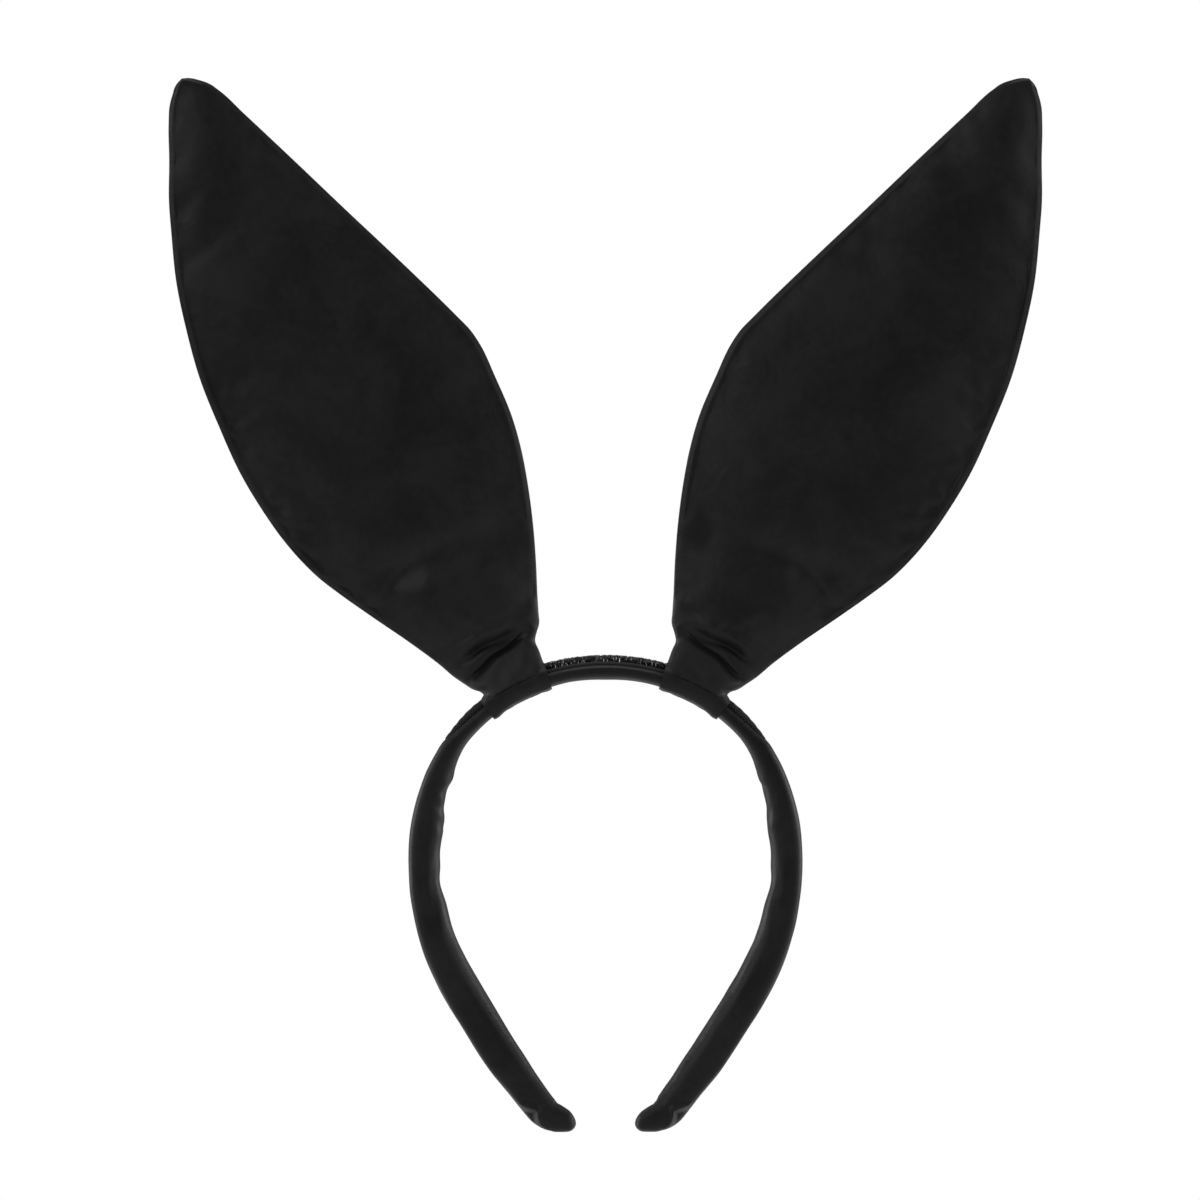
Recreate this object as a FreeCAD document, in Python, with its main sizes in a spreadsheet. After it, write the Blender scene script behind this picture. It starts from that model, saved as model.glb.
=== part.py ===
import FreeCAD, Part
import os

import Sketcher
from FreeCAD import Placement, Rotation, Vector

# A satin rabbit-ears headband, worn ears up.
#
# Frame: +Z up, -Y the wearer's front, +X the wearer's left. The origin is the centre of the crown
# arc, which is the middle of the head opening. Every length is in millimetres, every angle in degrees.
#
# The band is a plastic strip with a foam lining in a satin sleeve. A hook tape is sewn along its
# crown. Each ear is two satin panels over wadding and a wire hoop, and stands on a satin foot that
# wraps round the band and grips the hook tape with a pad of loop tape.
# The band is cut at the hinge angle, and each ear at its neck and at its fold, so that the pieces
# can turn there. The real band and ears are each in one piece and bend instead.

# ---- driving dimensions ----------------------------------------------------------------------

DIMENSIONS = {
    # the band's outer line: four arcs that run on into each other, and a straight toe
    "band_radius": 65.8,
    "crown_end_angle": 95.0,
    "leg_radius": 91.0,
    "leg_sweep": 21.9,
    "shin_radius": 211.0,
    "shin_sweep": 14.8,
    "toe_radius": 12.8,
    "toe_sweep": 48.0,
    "toe_length": 6.2,
    # the covered band's depth towards the head, at stations along it
    "crown_depth": 5.2,
    "temple_depth": 7.9,
    "leg_depth": 10.0,
    "calf_depth": 11.2,
    "shin_depth": 11.2,
    "ankle_depth": 10.2,
    "toe_depth": 5.2,
    "ankle_rise_angle": 1.0,
    # widths, front to back
    "band_width": 15.0,
    "toe_width": 10.0,
    "taper_top": -30.0,
    "taper_overrun": 2.0,
    "sleeve_thickness": 0.6,
    "sleeve_rounding": 1.2,
    "core_thickness": 1.6,
    "core_side_room": 0.7,
    "foam_side_room": 0.2,
    "lining_room": 0.1,
    # where the legs hinge on the crown
    "hinge_angle": 58.0,
    "hinge_gap_angle": 0.3,
    # hook tape on the crown, and its two rows of stitching
    "tape_end_angle": 5.0,
    "tape_width": 10.0,
    "tape_base": 1.0,
    "hook_height": 1.6,
    "selvedge": 1.2,
    "stitch_width": 0.4,
    "stitch_height": 0.2,
    # the foot that holds an ear on the band
    "ear_angle": 27.5,
    "foot_half_angle": 10.2,
    "foot_room": 0.3,
    "strap_thickness": 0.6,
    "loop_thickness": 1.0,
    "stem_end_room": 0.75,
    "stem_depth": 5.4,
    "stem_height": 3.0,
    "stem_wall": 0.6,
    "binding_thread": 0.4,
    "binding_pitch": 0.7,
    "binding_turns": 3.0,
    # the ear, measured from its lean axis
    "lean_gap": 2.2,
    "ear_height": 219.0,
    "ear_depth": 6.0,
    "panel_thickness": 0.6,
    "neck_outer_reach": 14.5,
    "neck_inner_reach": 13.5,
    "belly_height": 50.5,
    "belly_reach": 39.5,
    "bulge_height": 95.0,
    "bulge_reach": 47.1,
    "cheek_drop": 36.5,
    "cheek_reach": 27.5,
    "tip_drop": 8.0,
    "tip_outer_reach": 12.5,
    "tip_inner_reach": 4.0,
    "shoulder_height": 99.5,
    "shoulder_reach": 42.0,
    "waist_height": 59.0,
    "waist_reach": 38.4,
    "fold_height": 110.0,
    "fold_gap": 3.4,
    # inside the ear
    "wire_thickness": 1.2,
    "wire_room": 0.2,
    "wadding_room": 0.3,
}

doc = FreeCAD.newDocument("RabbitEarsHeadband")
sheet = doc.addObject("Spreadsheet::Sheet", "Dims")
for row, (name, size) in enumerate(DIMENSIONS.items(), start=1):
    sheet.set(f"A{row}", name)
    sheet.set(f"B{row}", str(size))
    sheet.setAlias(f"B{row}", name)
doc.recompute()

# Every piece that is written out, in the order in which it is made.
subparts = []


def cell(name):
    """The expression that reads one driving dimension."""
    return f"Dims.{name}"


def value(expression):
    """What an expression comes to now, as a plain number."""
    result = doc.getObject("Probe").evalExpression(expression)
    return float(getattr(result, "Value", result))


doc.addObject("App::FeaturePython", "Probe")


# ---- sketches whose every size is an expression ------------------------------------------------


def draw_outline(sketch, spans):
    """Draws a closed outline. A span is its start point, or its start point and a point half way
    along an arc, each point as two expressions. It runs to the next span's start."""
    starts = [span[0] for span in spans]
    ends = starts[1:] + starts[:1]
    first = sketch.GeometryCount
    shapes = []
    for span, end in zip(spans, ends):
        corner, far_corner = plain_point(span[0]), plain_point(end)
        if len(span) == 1:
            shapes.append(Part.LineSegment(corner, far_corner))
        else:
            shapes.append(Part.Arc(corner, plain_point(span[1]), far_corner))
    sketch.addGeometry(shapes, False)
    constraints = []
    expressions = []

    def pin(geometry, vertex, point):
        """Fixes a vertex at a point given as two expressions."""
        for kind, expression in zip(("DistanceX", "DistanceY"), point):
            constraints.append(
                Sketcher.Constraint(kind, -1, 1, geometry, vertex, value(expression))
            )
            expressions.append((len(constraints) - 1, expression))

    vertices = []
    for number, start in enumerate(starts, start=first):
        # An arc is stored anticlockwise, so one that runs clockwise has its start and end swapped.
        stored = sketch.getPoint(number, 1)
        runs_forward = stored.distanceToPoint(plain_point(start)) < 1e-6
        vertices.append((number, 1, 2) if runs_forward else (number, 2, 1))
    for here, after, start in zip(vertices[-1:] + vertices[:-1], vertices, starts):
        pin(after[0], after[1], start)
        constraints.append(Sketcher.Constraint("Coincident", here[0], here[2], after[0], after[1]))
    for number, span in enumerate(spans, start=first):
        if len(span) == 2:
            point = sketch.addGeometry(Part.Point(plain_point(span[1])), True)
            pin(point, 1, span[1])
            constraints.append(Sketcher.Constraint("PointOnObject", point, 1, number))
    offset = sketch.ConstraintCount
    sketch.addConstraint(constraints)
    for index, expression in expressions:
        sketch.setExpression(f"Constraints[{offset + index}]", expression)


def plain_point(point):
    """A point given as two expressions, as a vector in its sketch's plane."""
    return Vector(value(point[0]), value(point[1]), 0)


def new_body(label):
    body = doc.addObject("PartDesign::Body", label)
    body.Label = label
    return body


def new_sketch(body, plane, spans, *holes):
    """A sketch on one of the body's own planes, of an outline and any holes in it."""
    support = [f for f in body.Origin.OriginFeatures if f.Role == plane][0]
    sketch = body.newObject("Sketcher::SketchObject", "Sketch")
    sketch.AttachmentSupport = (support, "")
    sketch.MapMode = "FlatFace"
    for outline in (spans, *holes):
        draw_outline(sketch, outline)
    return sketch


def rectangle(half_width, low, high):
    """Four straight spans, symmetric about the upright axis."""
    return [
        ((f"-({half_width})", low),),
        ((half_width, low),),
        ((half_width, high),),
        ((f"-({half_width})", high),),
    ]


def rounded_rectangle(half_width, low, high, radius):
    """A rectangle with quarter-circle corners, drawn anticlockwise from its lower left."""
    half = f"({half_width})"
    r = f"({radius})"
    cut = f"({radius})*(1-sqrt(0.5))"
    return [
        ((f"-{half}+{r}", low),),
        ((f"{half}-{r}", low), (f"{half}-{cut}", f"{low}+{cut}")),
        ((half, f"{low}+{r}"),),
        ((half, f"{high}-{r}"), (f"{half}-{cut}", f"{high}-{cut}")),
        ((f"{half}-{r}", high),),
        ((f"-{half}+{r}", high), (f"-{half}+{cut}", f"{high}-{cut}")),
        ((f"-{half}", f"{high}-{r}"),),
        ((f"-{half}", f"{low}+{r}"), (f"-{half}+{cut}", f"{low}+{cut}")),
    ]


def revolve_section(label, half_angle, section, *holes, turn=None):
    """A piece that follows the crown: a section in the YZ plane, turned about the Y axis by
    half_angle each way, and then carried round the crown by the angle turn."""
    body = new_body(label)
    sketch = new_sketch(body, "YZ_Plane", section, *holes)
    revolution = body.newObject("PartDesign::Revolution", "Revolution")
    revolution.Profile = sketch
    axis = [f for f in body.Origin.OriginFeatures if f.Role == "Y_Axis"][0]
    revolution.ReferenceAxis = (axis, [""])
    revolution.Midplane = True
    revolution.setExpression("Angle", f"2*({half_angle})")
    if turn:
        turn_with_ear(body, turn)
    return body


def turn_with_ear(piece, angle):
    """Carries a piece round the crown from the top of the band to an ear's place."""
    piece.Placement = Placement(Vector(0, 0, 0), Rotation(Vector(0, 1, 0), value(angle)))
    piece.setExpression("Placement.Rotation.Angle", angle)


def pad_profile(label, spans, width):
    """A flat piece in the XZ plane, padded by width, half to each side."""
    body = new_body(label)
    sketch = new_sketch(body, "XZ_Plane", spans)
    pad = body.newObject("PartDesign::Pad", "Pad")
    pad.Profile = sketch
    pad.SideType = "Symmetric"
    pad.setExpression("Length", width)
    return body


def keep(piece):
    """Marks a piece as one of the sub-parts that are written out."""
    subparts.append(piece)


def keep_both_sides(piece):
    """Keeps a piece of the wearer's left-hand side, and a mirrored copy for the right."""
    copy = doc.addObject("Part::Mirroring", piece.Label.replace("left", "right"))
    copy.Source = piece
    copy.Normal = Vector(1, 0, 0)
    keep(piece)
    keep(copy)


# ---- the band's outer line ---------------------------------------------------------------------


class Bend:
    """One arc of the band's outer line. Its angles are measured at its own centre from +Z
    towards +X, and a point lies on it at a depth towards the head."""

    def __init__(self, centre, radius, start):
        self.centre = centre
        self.radius = radius
        self.start = start

    def point(self, depth, angle):
        reach = f"({self.radius}-({depth}))"
        return (
            f"{self.centre[0]}+{reach}*sin({angle})",
            f"{self.centre[1]}+{reach}*cos({angle})",
        )

    def then(self, radius, angle):
        """The next bend, which leaves this one at an angle in the same direction."""
        step = f"({self.radius}-{radius})"
        centre = (
            f"{self.centre[0]}+{step}*sin({angle})",
            f"{self.centre[1]}+{step}*cos({angle})",
        )
        return Bend(centre, radius, angle)


crown_bend = Bend(("0", "0"), cell("band_radius"), "0")
leg_bend = crown_bend.then(cell("leg_radius"), cell("crown_end_angle"))
shin_start = f"({leg_bend.start}+{cell('leg_sweep')})"
shin_bend = leg_bend.then(cell("shin_radius"), shin_start)
toe_start = f"({shin_start}+{cell('shin_sweep')})"
toe_bend = shin_bend.then(cell("toe_radius"), toe_start)
toe_end = f"({toe_start}+{cell('toe_sweep')})"
toe_bottom = f"({toe_bend.centre[1]}-{toe_bend.radius})"
leg_start = f"({cell('hinge_angle')}+{cell('hinge_gap_angle')}/2)"
crown_half_angle = f"({cell('hinge_angle')}-{cell('hinge_gap_angle')}/2)"


def half_way(a, b):
    return f"({a}+{b})/2"


def toe_point(depth, length):
    """A point beyond the last bend, where the band runs straight on for a length."""
    corner = toe_bend.point(depth, toe_end)
    return (
        f"{corner[0]}+({length})*cos({toe_end})",
        f"{corner[1]}-({length})*sin({toe_end})",
    )


def outer_spans(depth, length):
    """The run of the band's outer line at a depth, from the hinge to the toe's end."""
    return [
        (
            crown_bend.point(depth, leg_start),
            crown_bend.point(depth, half_way(leg_start, leg_bend.start)),
        ),
        (
            leg_bend.point(depth, leg_bend.start),
            leg_bend.point(depth, half_way(leg_bend.start, shin_start)),
        ),
        (
            shin_bend.point(depth, shin_start),
            shin_bend.point(depth, half_way(shin_start, toe_start)),
        ),
        (
            toe_bend.point(depth, toe_start),
            toe_bend.point(depth, half_way(toe_start, toe_end)),
        ),
        (toe_bend.point(depth, toe_end),),
        (toe_point(depth, length),),
    ]


def inner_spans(inset, length):
    """The head side of the covered band, from the toe's end back up to the hinge, moved inset
    into the band. Its depth changes from station to station."""
    ankle = f"({toe_start}-{cell('ankle_rise_angle')})"

    def at(bend, depth, angle):
        return bend.point(f"{cell(depth)}-({inset})", angle)

    toe = f"{cell('toe_depth')}-({inset})"
    return [
        (toe_point(toe, length),),
        (
            at(shin_bend, "ankle_depth", ankle),
            at(shin_bend, "shin_depth", half_way(shin_start, ankle)),
        ),
        (
            at(leg_bend, "calf_depth", shin_start),
            at(leg_bend, "calf_depth", half_way(leg_bend.start, shin_start)),
        ),
        (
            at(leg_bend, "leg_depth", leg_bend.start),
            at(crown_bend, "temple_depth", half_way(leg_start, leg_bend.start)),
        ),
        (at(crown_bend, "crown_depth", leg_start),),
    ]


def strip_spans(depth, length):
    """The head side of a strip of even thickness, from the toe's end back up to the hinge."""
    return [
        (toe_point(depth, length),),
        (
            toe_bend.point(depth, toe_end),
            toe_bend.point(depth, half_way(toe_start, toe_end)),
        ),
        (
            shin_bend.point(depth, toe_start),
            shin_bend.point(depth, half_way(shin_start, toe_start)),
        ),
        (
            leg_bend.point(depth, shin_start),
            leg_bend.point(depth, half_way(leg_bend.start, shin_start)),
        ),
        (
            crown_bend.point(depth, leg_bend.start),
            crown_bend.point(depth, half_way(leg_start, leg_bend.start)),
        ),
        (crown_bend.point(depth, leg_start),),
    ]


def taper_sides(body, top_width, toe_width):
    """Cuts a leg piece narrower towards its toe, front and back."""
    top, bottom = cell("taper_top"), f"({toe_bottom}-{cell('taper_overrun')})"
    outside = cell("band_width")
    for side in ("", "-"):
        wedge = [
            ((f"{side}({top_width})/2", top),),
            ((f"{side}({toe_width})/2", bottom),),
            ((f"{side}{outside}", bottom),),
            ((f"{side}{outside}", top),),
        ]
        sketch = new_sketch(body, "YZ_Plane", wedge)
        doc.recompute()
        pocket = body.newObject("PartDesign::Pocket", "Taper")
        pocket.Profile = sketch
        pocket.SideType = "Symmetric"
        pocket.Type = "ThroughAll"
    return body


def cut(label, base, tool):
    """A boolean cut, as one document object."""
    result = doc.addObject("Part::Cut", label)
    result.Base = base
    result.Tool = tool
    result.Label = label
    return result


def common(label, base, tool):
    """What two pieces share, as one document object."""
    result = doc.addObject("Part::Common", label)
    result.Base = base
    result.Tool = tool
    result.Label = label
    return result


# ---- the crown ---------------------------------------------------------------------------------

band_outside = cell("band_radius")
band_inside = f"({cell('band_radius')}-{cell('crown_depth')})"
band_half_width = f"({cell('band_width')}/2)"
sleeve = cell("sleeve_thickness")
cavity_half_width = f"({band_half_width}-{sleeve})"
core_outside = f"({band_outside}-{sleeve})"
core_inside = f"({core_outside}-{cell('core_thickness')})"
core_half_width = f"({cavity_half_width}-{cell('core_side_room')})"
foam_half_width = f"({cavity_half_width}-{cell('foam_side_room')})"
foam_inside = f"({band_inside}+{sleeve}+{cell('lining_room')})"

keep(
    revolve_section(
        "band_core_crown",
        crown_half_angle,
        rectangle(core_half_width, core_inside, core_outside),
    )
)
keep(
    revolve_section(
        "band_foam_crown",
        crown_half_angle,
        rectangle(foam_half_width, foam_inside, core_inside),
    )
)
keep(
    revolve_section(
        "band_sleeve_crown",
        crown_half_angle,
        rounded_rectangle(
            band_half_width, band_inside, band_outside, cell("sleeve_rounding")
        ),
        rectangle(cavity_half_width, f"({band_inside}+{sleeve})", core_outside),
    )
)

# The hook tape is a woven base with bare selvedges, and a field of hooks between them.
tape_half_width = f"({cell('tape_width')}/2)"
tape_half_angle = f"({cell('hinge_angle')}-{cell('tape_end_angle')})"
hook_half_width = f"({tape_half_width}-{cell('selvedge')})"
tape_base_top = f"({band_outside}+{cell('tape_base')})"
tape_top = f"({tape_base_top}+{cell('hook_height')})"
keep(
    revolve_section(
        "hook_tape",
        tape_half_angle,
        [
            ((f"-{tape_half_width}", band_outside),),
            ((tape_half_width, band_outside),),
            ((tape_half_width, tape_base_top),),
            ((hook_half_width, tape_base_top),),
            ((hook_half_width, tape_top),),
            ((f"-{hook_half_width}", tape_top),),
            ((f"-{hook_half_width}", tape_base_top),),
            ((f"-{tape_half_width}", tape_base_top),),
        ],
    )
)

# One line of sewing thread runs along the middle of each selvedge.
stitch_inner = f"({tape_half_width}-{cell('selvedge')}/2-{cell('stitch_width')}/2)"
stitch_outer = f"({tape_half_width}-{cell('selvedge')}/2+{cell('stitch_width')}/2)"
stitch_top = f"({tape_base_top}+{cell('stitch_height')})"
for side, sign in (("front", "-"), ("back", "")):
    keep(
        revolve_section(
            f"tape_stitching_{side}",
            tape_half_angle,
            [
                ((f"{sign}{stitch_inner}", tape_base_top),),
                ((f"{sign}{stitch_outer}", tape_base_top),),
                ((f"{sign}{stitch_outer}", stitch_top),),
                ((f"{sign}{stitch_inner}", stitch_top),),
            ],
        )
    )

# ---- the legs ----------------------------------------------------------------------------------


def leg_piece(label, spans, top_width, toe_width):
    """A piece of the left leg: its profile, padded and then tapered towards the toe."""
    return taper_sides(pad_profile(label, spans, top_width), top_width, toe_width)


def narrower(room):
    """The widths of a leg piece at its top and toe, inside the sleeve by a room at each side."""
    inset = f"2*({sleeve}+{room})"
    return f"({cell('band_width')}-{inset})", f"({cell('toe_width')}-{inset})"


sleeve_length = cell("toe_length")
cavity_length = f"({cell('toe_length')}-{sleeve})"
core_depth = f"({sleeve}+{cell('core_thickness')})"
foam_inset = f"({sleeve}+{cell('lining_room')})"

leg_outer_form = leg_piece(
    "leg_outer_form",
    outer_spans("0", sleeve_length) + inner_spans("0", sleeve_length),
    cell("band_width"),
    cell("toe_width"),
)
leg_cavity_form = leg_piece(
    "leg_cavity_form",
    outer_spans(sleeve, cavity_length) + inner_spans(sleeve, cavity_length),
    *narrower("0"),
)
leg_pieces = [
    leg_piece(
        "band_core_leg_left",
        outer_spans(sleeve, cavity_length) + strip_spans(core_depth, cavity_length),
        *narrower(cell("core_side_room")),
    ),
    leg_piece(
        "band_foam_leg_left",
        outer_spans(core_depth, cavity_length) + inner_spans(foam_inset, cavity_length),
        *narrower(cell("foam_side_room")),
    ),
    cut("band_sleeve_leg_left", leg_outer_form, leg_cavity_form),
]
for piece in leg_pieces:
    keep_both_sides(piece)

# ---- the foot of an ear ------------------------------------------------------------------------

# A satin strap goes all round the band. The loop tape is sewn to its inside, over the hooks.
foot_angle = cell("foot_half_angle")
ear_angle = cell("ear_angle")
foot_room = cell("foot_room")
strap = cell("strap_thickness")
strap_cavity_half_width = f"({band_half_width}+{foot_room})"
loop_inside = f"({tape_top}+{foot_room})"
loop_outside = f"({loop_inside}+{cell('loop_thickness')})"
strap_top = f"({loop_outside}+{strap})"
strap_inside = f"({band_inside}-{foot_room})"

foot_pieces = [
    revolve_section(
        "ear_strap_left",
        foot_angle,
        rectangle(f"({strap_cavity_half_width}+{strap})", f"({strap_inside}-{strap})", strap_top),
        rectangle(strap_cavity_half_width, strap_inside, loop_outside),
        turn=ear_angle,
    ),
    revolve_section(
        "ear_loop_tape_left",
        foot_angle,
        rectangle(tape_half_width, loop_inside, loop_outside),
        turn=ear_angle,
    ),
]

# The stem is the gathered end of the ear's satin, sewn to the top of the strap.
stem_half_width = f"({strap_top}*sin({foot_angle})-{cell('stem_end_room')})"
stem_top = f"({strap_top}+{cell('stem_height')})"


def stem_form(label, inset, depth):
    """A block that stands on the round top of the strap, smaller by an inset at each side."""
    half = f"({stem_half_width}-({inset}))"
    foot = f"sqrt({strap_top}^2-{half}^2)"
    return pad_profile(
        label,
        [
            ((f"-{half}", foot), ("0", strap_top)),
            ((half, foot),),
            ((half, stem_top),),
            ((f"-{half}", stem_top),),
        ],
        depth,
    )


stem = cut(
    "ear_stem_left",
    stem_form("stem_outer_form", "0", cell("stem_depth")),
    stem_form(
        "stem_inner_form", cell("stem_wall"), f"({cell('stem_depth')}-2*{cell('stem_wall')})"
    ),
)
turn_with_ear(stem, ear_angle)
foot_pieces.append(stem)

# Turns of strong thread bind the gathers, one above the other.
thread = cell("binding_thread")


def block(label, half_x, half_y, low, height):
    """A box centred on the Z axis, standing at a height."""
    box = doc.addObject("Part::Box", label)
    box.setExpression("Length", f"2*({half_x})")
    box.setExpression("Width", f"2*({half_y})")
    box.setExpression("Height", height)
    box.setExpression("Placement.Base.x", f"-({half_x})")
    box.setExpression("Placement.Base.y", f"-({half_y})")
    box.setExpression("Placement.Base.z", low)
    return box


turns = []
for number in range(int(DIMENSIONS["binding_turns"])):
    low = f"({stem_top}-{thread}-{number}*{cell('binding_pitch')})"
    half_depth = f"({cell('stem_depth')}/2)"
    around = block(
        f"turn_{number}_outer", f"{stem_half_width}+{thread}", f"{half_depth}+{thread}", low, thread
    )
    within = block(f"turn_{number}_inner", stem_half_width, half_depth, low, thread)
    turns.append(cut(f"binding_turn_{number}", around, within))
binding = doc.addObject("Part::Compound", "ear_binding_thread_left")
binding.Links = turns
turn_with_ear(binding, ear_angle)
foot_pieces.append(binding)

# ---- the ear, drawn upright and then carried to its place -----------------------------------------

lean_axis = f"({stem_top}+{cell('lean_gap')})"
ear_top = f"({lean_axis}+{cell('ear_height')})"
fold_axis = f"({lean_axis}+{cell('fold_height')})"


def above_neck(height):
    return f"({lean_axis}+{cell(height)})"


def below_tip(drop):
    return f"({ear_top}-{cell(drop)})"


ear_outline = doc.addObject("Sketcher::SketchObject", "ear_outline")
ear_outline.Placement = Placement(Vector(0, 0, 0), Rotation(Vector(1, 0, 0), 90))
tip_middle = f"({cell('tip_outer_reach')}-{cell('tip_inner_reach')})/2"
draw_outline(
    ear_outline,
    [
        ((cell("neck_outer_reach"), lean_axis),),
        (
            (cell("belly_reach"), above_neck("belly_height")),
            (cell("bulge_reach"), above_neck("bulge_height")),
        ),
        ((cell("cheek_reach"), below_tip("cheek_drop")),),
        ((cell("tip_outer_reach"), below_tip("tip_drop")), (tip_middle, ear_top)),
        ((f"-{cell('tip_inner_reach')}", below_tip("tip_drop")),),
        (
            (f"-{cell('shoulder_reach')}", above_neck("shoulder_height")),
            (f"-{cell('waist_reach')}", above_neck("waist_height")),
        ),
        ((f"-{cell('neck_inner_reach')}", lean_axis),),
    ],
)


def inside_outline(label, inset):
    """The ear's outline, drawn smaller by an inset all round."""
    offset = doc.addObject("Part::Offset2D", label)
    offset.Source = ear_outline
    offset.Join = "Intersection"
    offset.setExpression("Value", f"-({inset})")
    return offset


def thicken(label, flat, forward, both_ways=False):
    """A flat shape given a thickness, forward to -Y, or forward and as much again to +Y."""
    solid = doc.addObject("Part::Extrusion", label)
    solid.Base = flat
    solid.DirMode = "Custom"
    solid.Dir = Vector(0, -1, 0)
    solid.Solid = True
    solid.setExpression("LengthFwd", forward)
    if both_ways:
        solid.setExpression("LengthRev", forward)
    return solid


panel = cell("panel_thickness")
half_depth = f"({cell('ear_depth')}/2)"
cavity_half_depth = f"({half_depth}-{panel})"
wire = cell("wire_thickness")
wire_inset = f"({panel}+{cell('wire_room')})"
wadding_inset = f"({wire_inset}+{wire}+{cell('wadding_room')})"
wadding_half_depth = f"({cavity_half_depth}-{cell('wadding_room')})"

# The front panel is a shallow tray, and the back panel is its mirror image.
front_form = thicken("ear_front_form", ear_outline, half_depth)
front_hollow = thicken(
    "ear_front_hollow", inside_outline("ear_lining_outline", panel), cavity_half_depth
)
front_whole = cut("ear_front_whole", front_form, front_hollow)
back_whole = doc.addObject("Part::Mirroring", "ear_back_whole")
back_whole.Source = front_whole
back_whole.Normal = Vector(0, 1, 0)

wire_form = inside_outline("wire_outer_outline", wire_inset)
wire_hollow = inside_outline("wire_inner_outline", f"({wire_inset}+{wire})")
wire_whole = cut(
    "ear_wire_whole",
    thicken("ear_wire_form", wire_form, f"{wire}/2", both_ways=True),
    thicken("ear_wire_hollow", wire_hollow, f"{wire}/2", both_ways=True),
)
wadding_outline = inside_outline("wadding_outline", wadding_inset)
wadding_whole = thicken(
    "ear_wadding_whole", wadding_outline, wadding_half_depth, both_ways=True
)

# The fold splits the ear into a lower and an upper half. A slab is kept clear for the fold and
# another for the neck, so that both can turn.
slab_reach = f"({cell('bulge_reach')}+{cell('shoulder_reach')})"
lower_bottom = f"({lean_axis}+{cell('lean_gap')})"
lower_top = f"({fold_axis}-{cell('fold_gap')})"
upper_bottom = f"({fold_axis}+{cell('fold_gap')})"
halves = {
    "lower": block(
        "lower_half", slab_reach, cell("ear_depth"), lower_bottom, f"{lower_top}-{lower_bottom}"
    ),
    "upper": block(
        "upper_half", slab_reach, cell("ear_depth"), upper_bottom, f"{ear_top}-{upper_bottom}+{panel}"
    ),
}
ear_pieces = []
for half, slab in halves.items():
    for name, whole in (
        ("ear_front", front_whole),
        ("ear_back", back_whole),
        ("ear_wire", wire_whole),
        ("ear_wadding", wadding_whole),
    ):
        piece = common(f"{name}_{half}_left", whole, slab)
        turn_with_ear(piece, ear_angle)
        ear_pieces.append(piece)

# The two ends of the wire go on below the neck and are bound inside the stem.
tail_length = f"({cell('stem_height')}-{cell('stem_wall')})"
tail_reach = f"({stem_half_width}-{cell('stem_wall')}-{cell('wire_room')}-{wire}/2)"
tails = []
for side, sign in (("outer", ""), ("inner", "-")):
    tail = block(f"wire_tail_{side}", f"{wire}/2", f"{wire}/2", strap_top, tail_length)
    tail.setExpression("Placement.Base.x", f"{sign}{tail_reach}-{wire}/2")
    tails.append(tail)
tail_pair = doc.addObject("Part::Compound", "ear_wire_tails_left")
tail_pair.Links = tails
turn_with_ear(tail_pair, ear_angle)
foot_pieces.append(tail_pair)

for piece in foot_pieces + ear_pieces:
    keep_both_sides(piece)

# ---- check and write ---------------------------------------------------------------------------

doc.recompute()
for item in doc.Objects:
    if "Invalid" in item.State or "Error" in item.State:
        raise RuntimeError(f"{item.Label} did not build: {item.State}")
for piece in subparts:
    if piece.Shape.isNull() or not piece.Shape.isValid() or not piece.Shape.Solids:
        raise RuntimeError(f"{piece.Label} has no valid solid")

os.makedirs("parts", exist_ok=True)
for piece in subparts:
    piece.Shape.exportStep(f"parts/{piece.Label}.step")
    size = piece.Shape.BoundBox
    print(f"{piece.Label}: {piece.Shape.Volume:.0f} mm3, top {size.ZMax:.1f}, bottom {size.ZMin:.1f}")
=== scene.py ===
import math

import bpy
import numpy as np
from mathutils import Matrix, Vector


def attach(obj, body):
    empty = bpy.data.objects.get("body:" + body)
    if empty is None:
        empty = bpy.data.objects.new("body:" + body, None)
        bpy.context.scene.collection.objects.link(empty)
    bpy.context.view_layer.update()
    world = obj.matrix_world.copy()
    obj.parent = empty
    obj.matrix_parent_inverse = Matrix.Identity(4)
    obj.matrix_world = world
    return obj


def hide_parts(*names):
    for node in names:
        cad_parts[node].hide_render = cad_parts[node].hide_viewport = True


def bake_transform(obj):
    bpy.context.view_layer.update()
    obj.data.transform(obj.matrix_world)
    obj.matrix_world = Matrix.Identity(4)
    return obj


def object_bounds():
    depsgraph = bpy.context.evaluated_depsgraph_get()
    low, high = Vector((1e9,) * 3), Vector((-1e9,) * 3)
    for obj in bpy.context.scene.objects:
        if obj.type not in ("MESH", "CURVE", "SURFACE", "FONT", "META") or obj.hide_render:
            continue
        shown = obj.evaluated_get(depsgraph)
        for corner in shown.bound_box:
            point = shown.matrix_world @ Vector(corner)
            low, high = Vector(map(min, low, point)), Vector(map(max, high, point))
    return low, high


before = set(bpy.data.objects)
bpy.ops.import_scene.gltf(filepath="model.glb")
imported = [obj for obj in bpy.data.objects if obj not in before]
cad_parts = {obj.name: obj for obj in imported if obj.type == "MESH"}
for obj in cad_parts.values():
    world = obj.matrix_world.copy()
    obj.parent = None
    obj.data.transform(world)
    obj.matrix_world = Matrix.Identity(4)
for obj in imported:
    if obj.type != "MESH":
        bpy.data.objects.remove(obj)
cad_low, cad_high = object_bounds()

# ---- camera, light and floor ----
# A long lens looks straight at the front of the headband, which is held up as if worn. Large soft
# lamps stand to the sides and above, and a pale floor lies well below the toes.

scene = bpy.context.scene
scene.view_settings.view_transform = "Standard"
scene.view_settings.look = "None"

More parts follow.
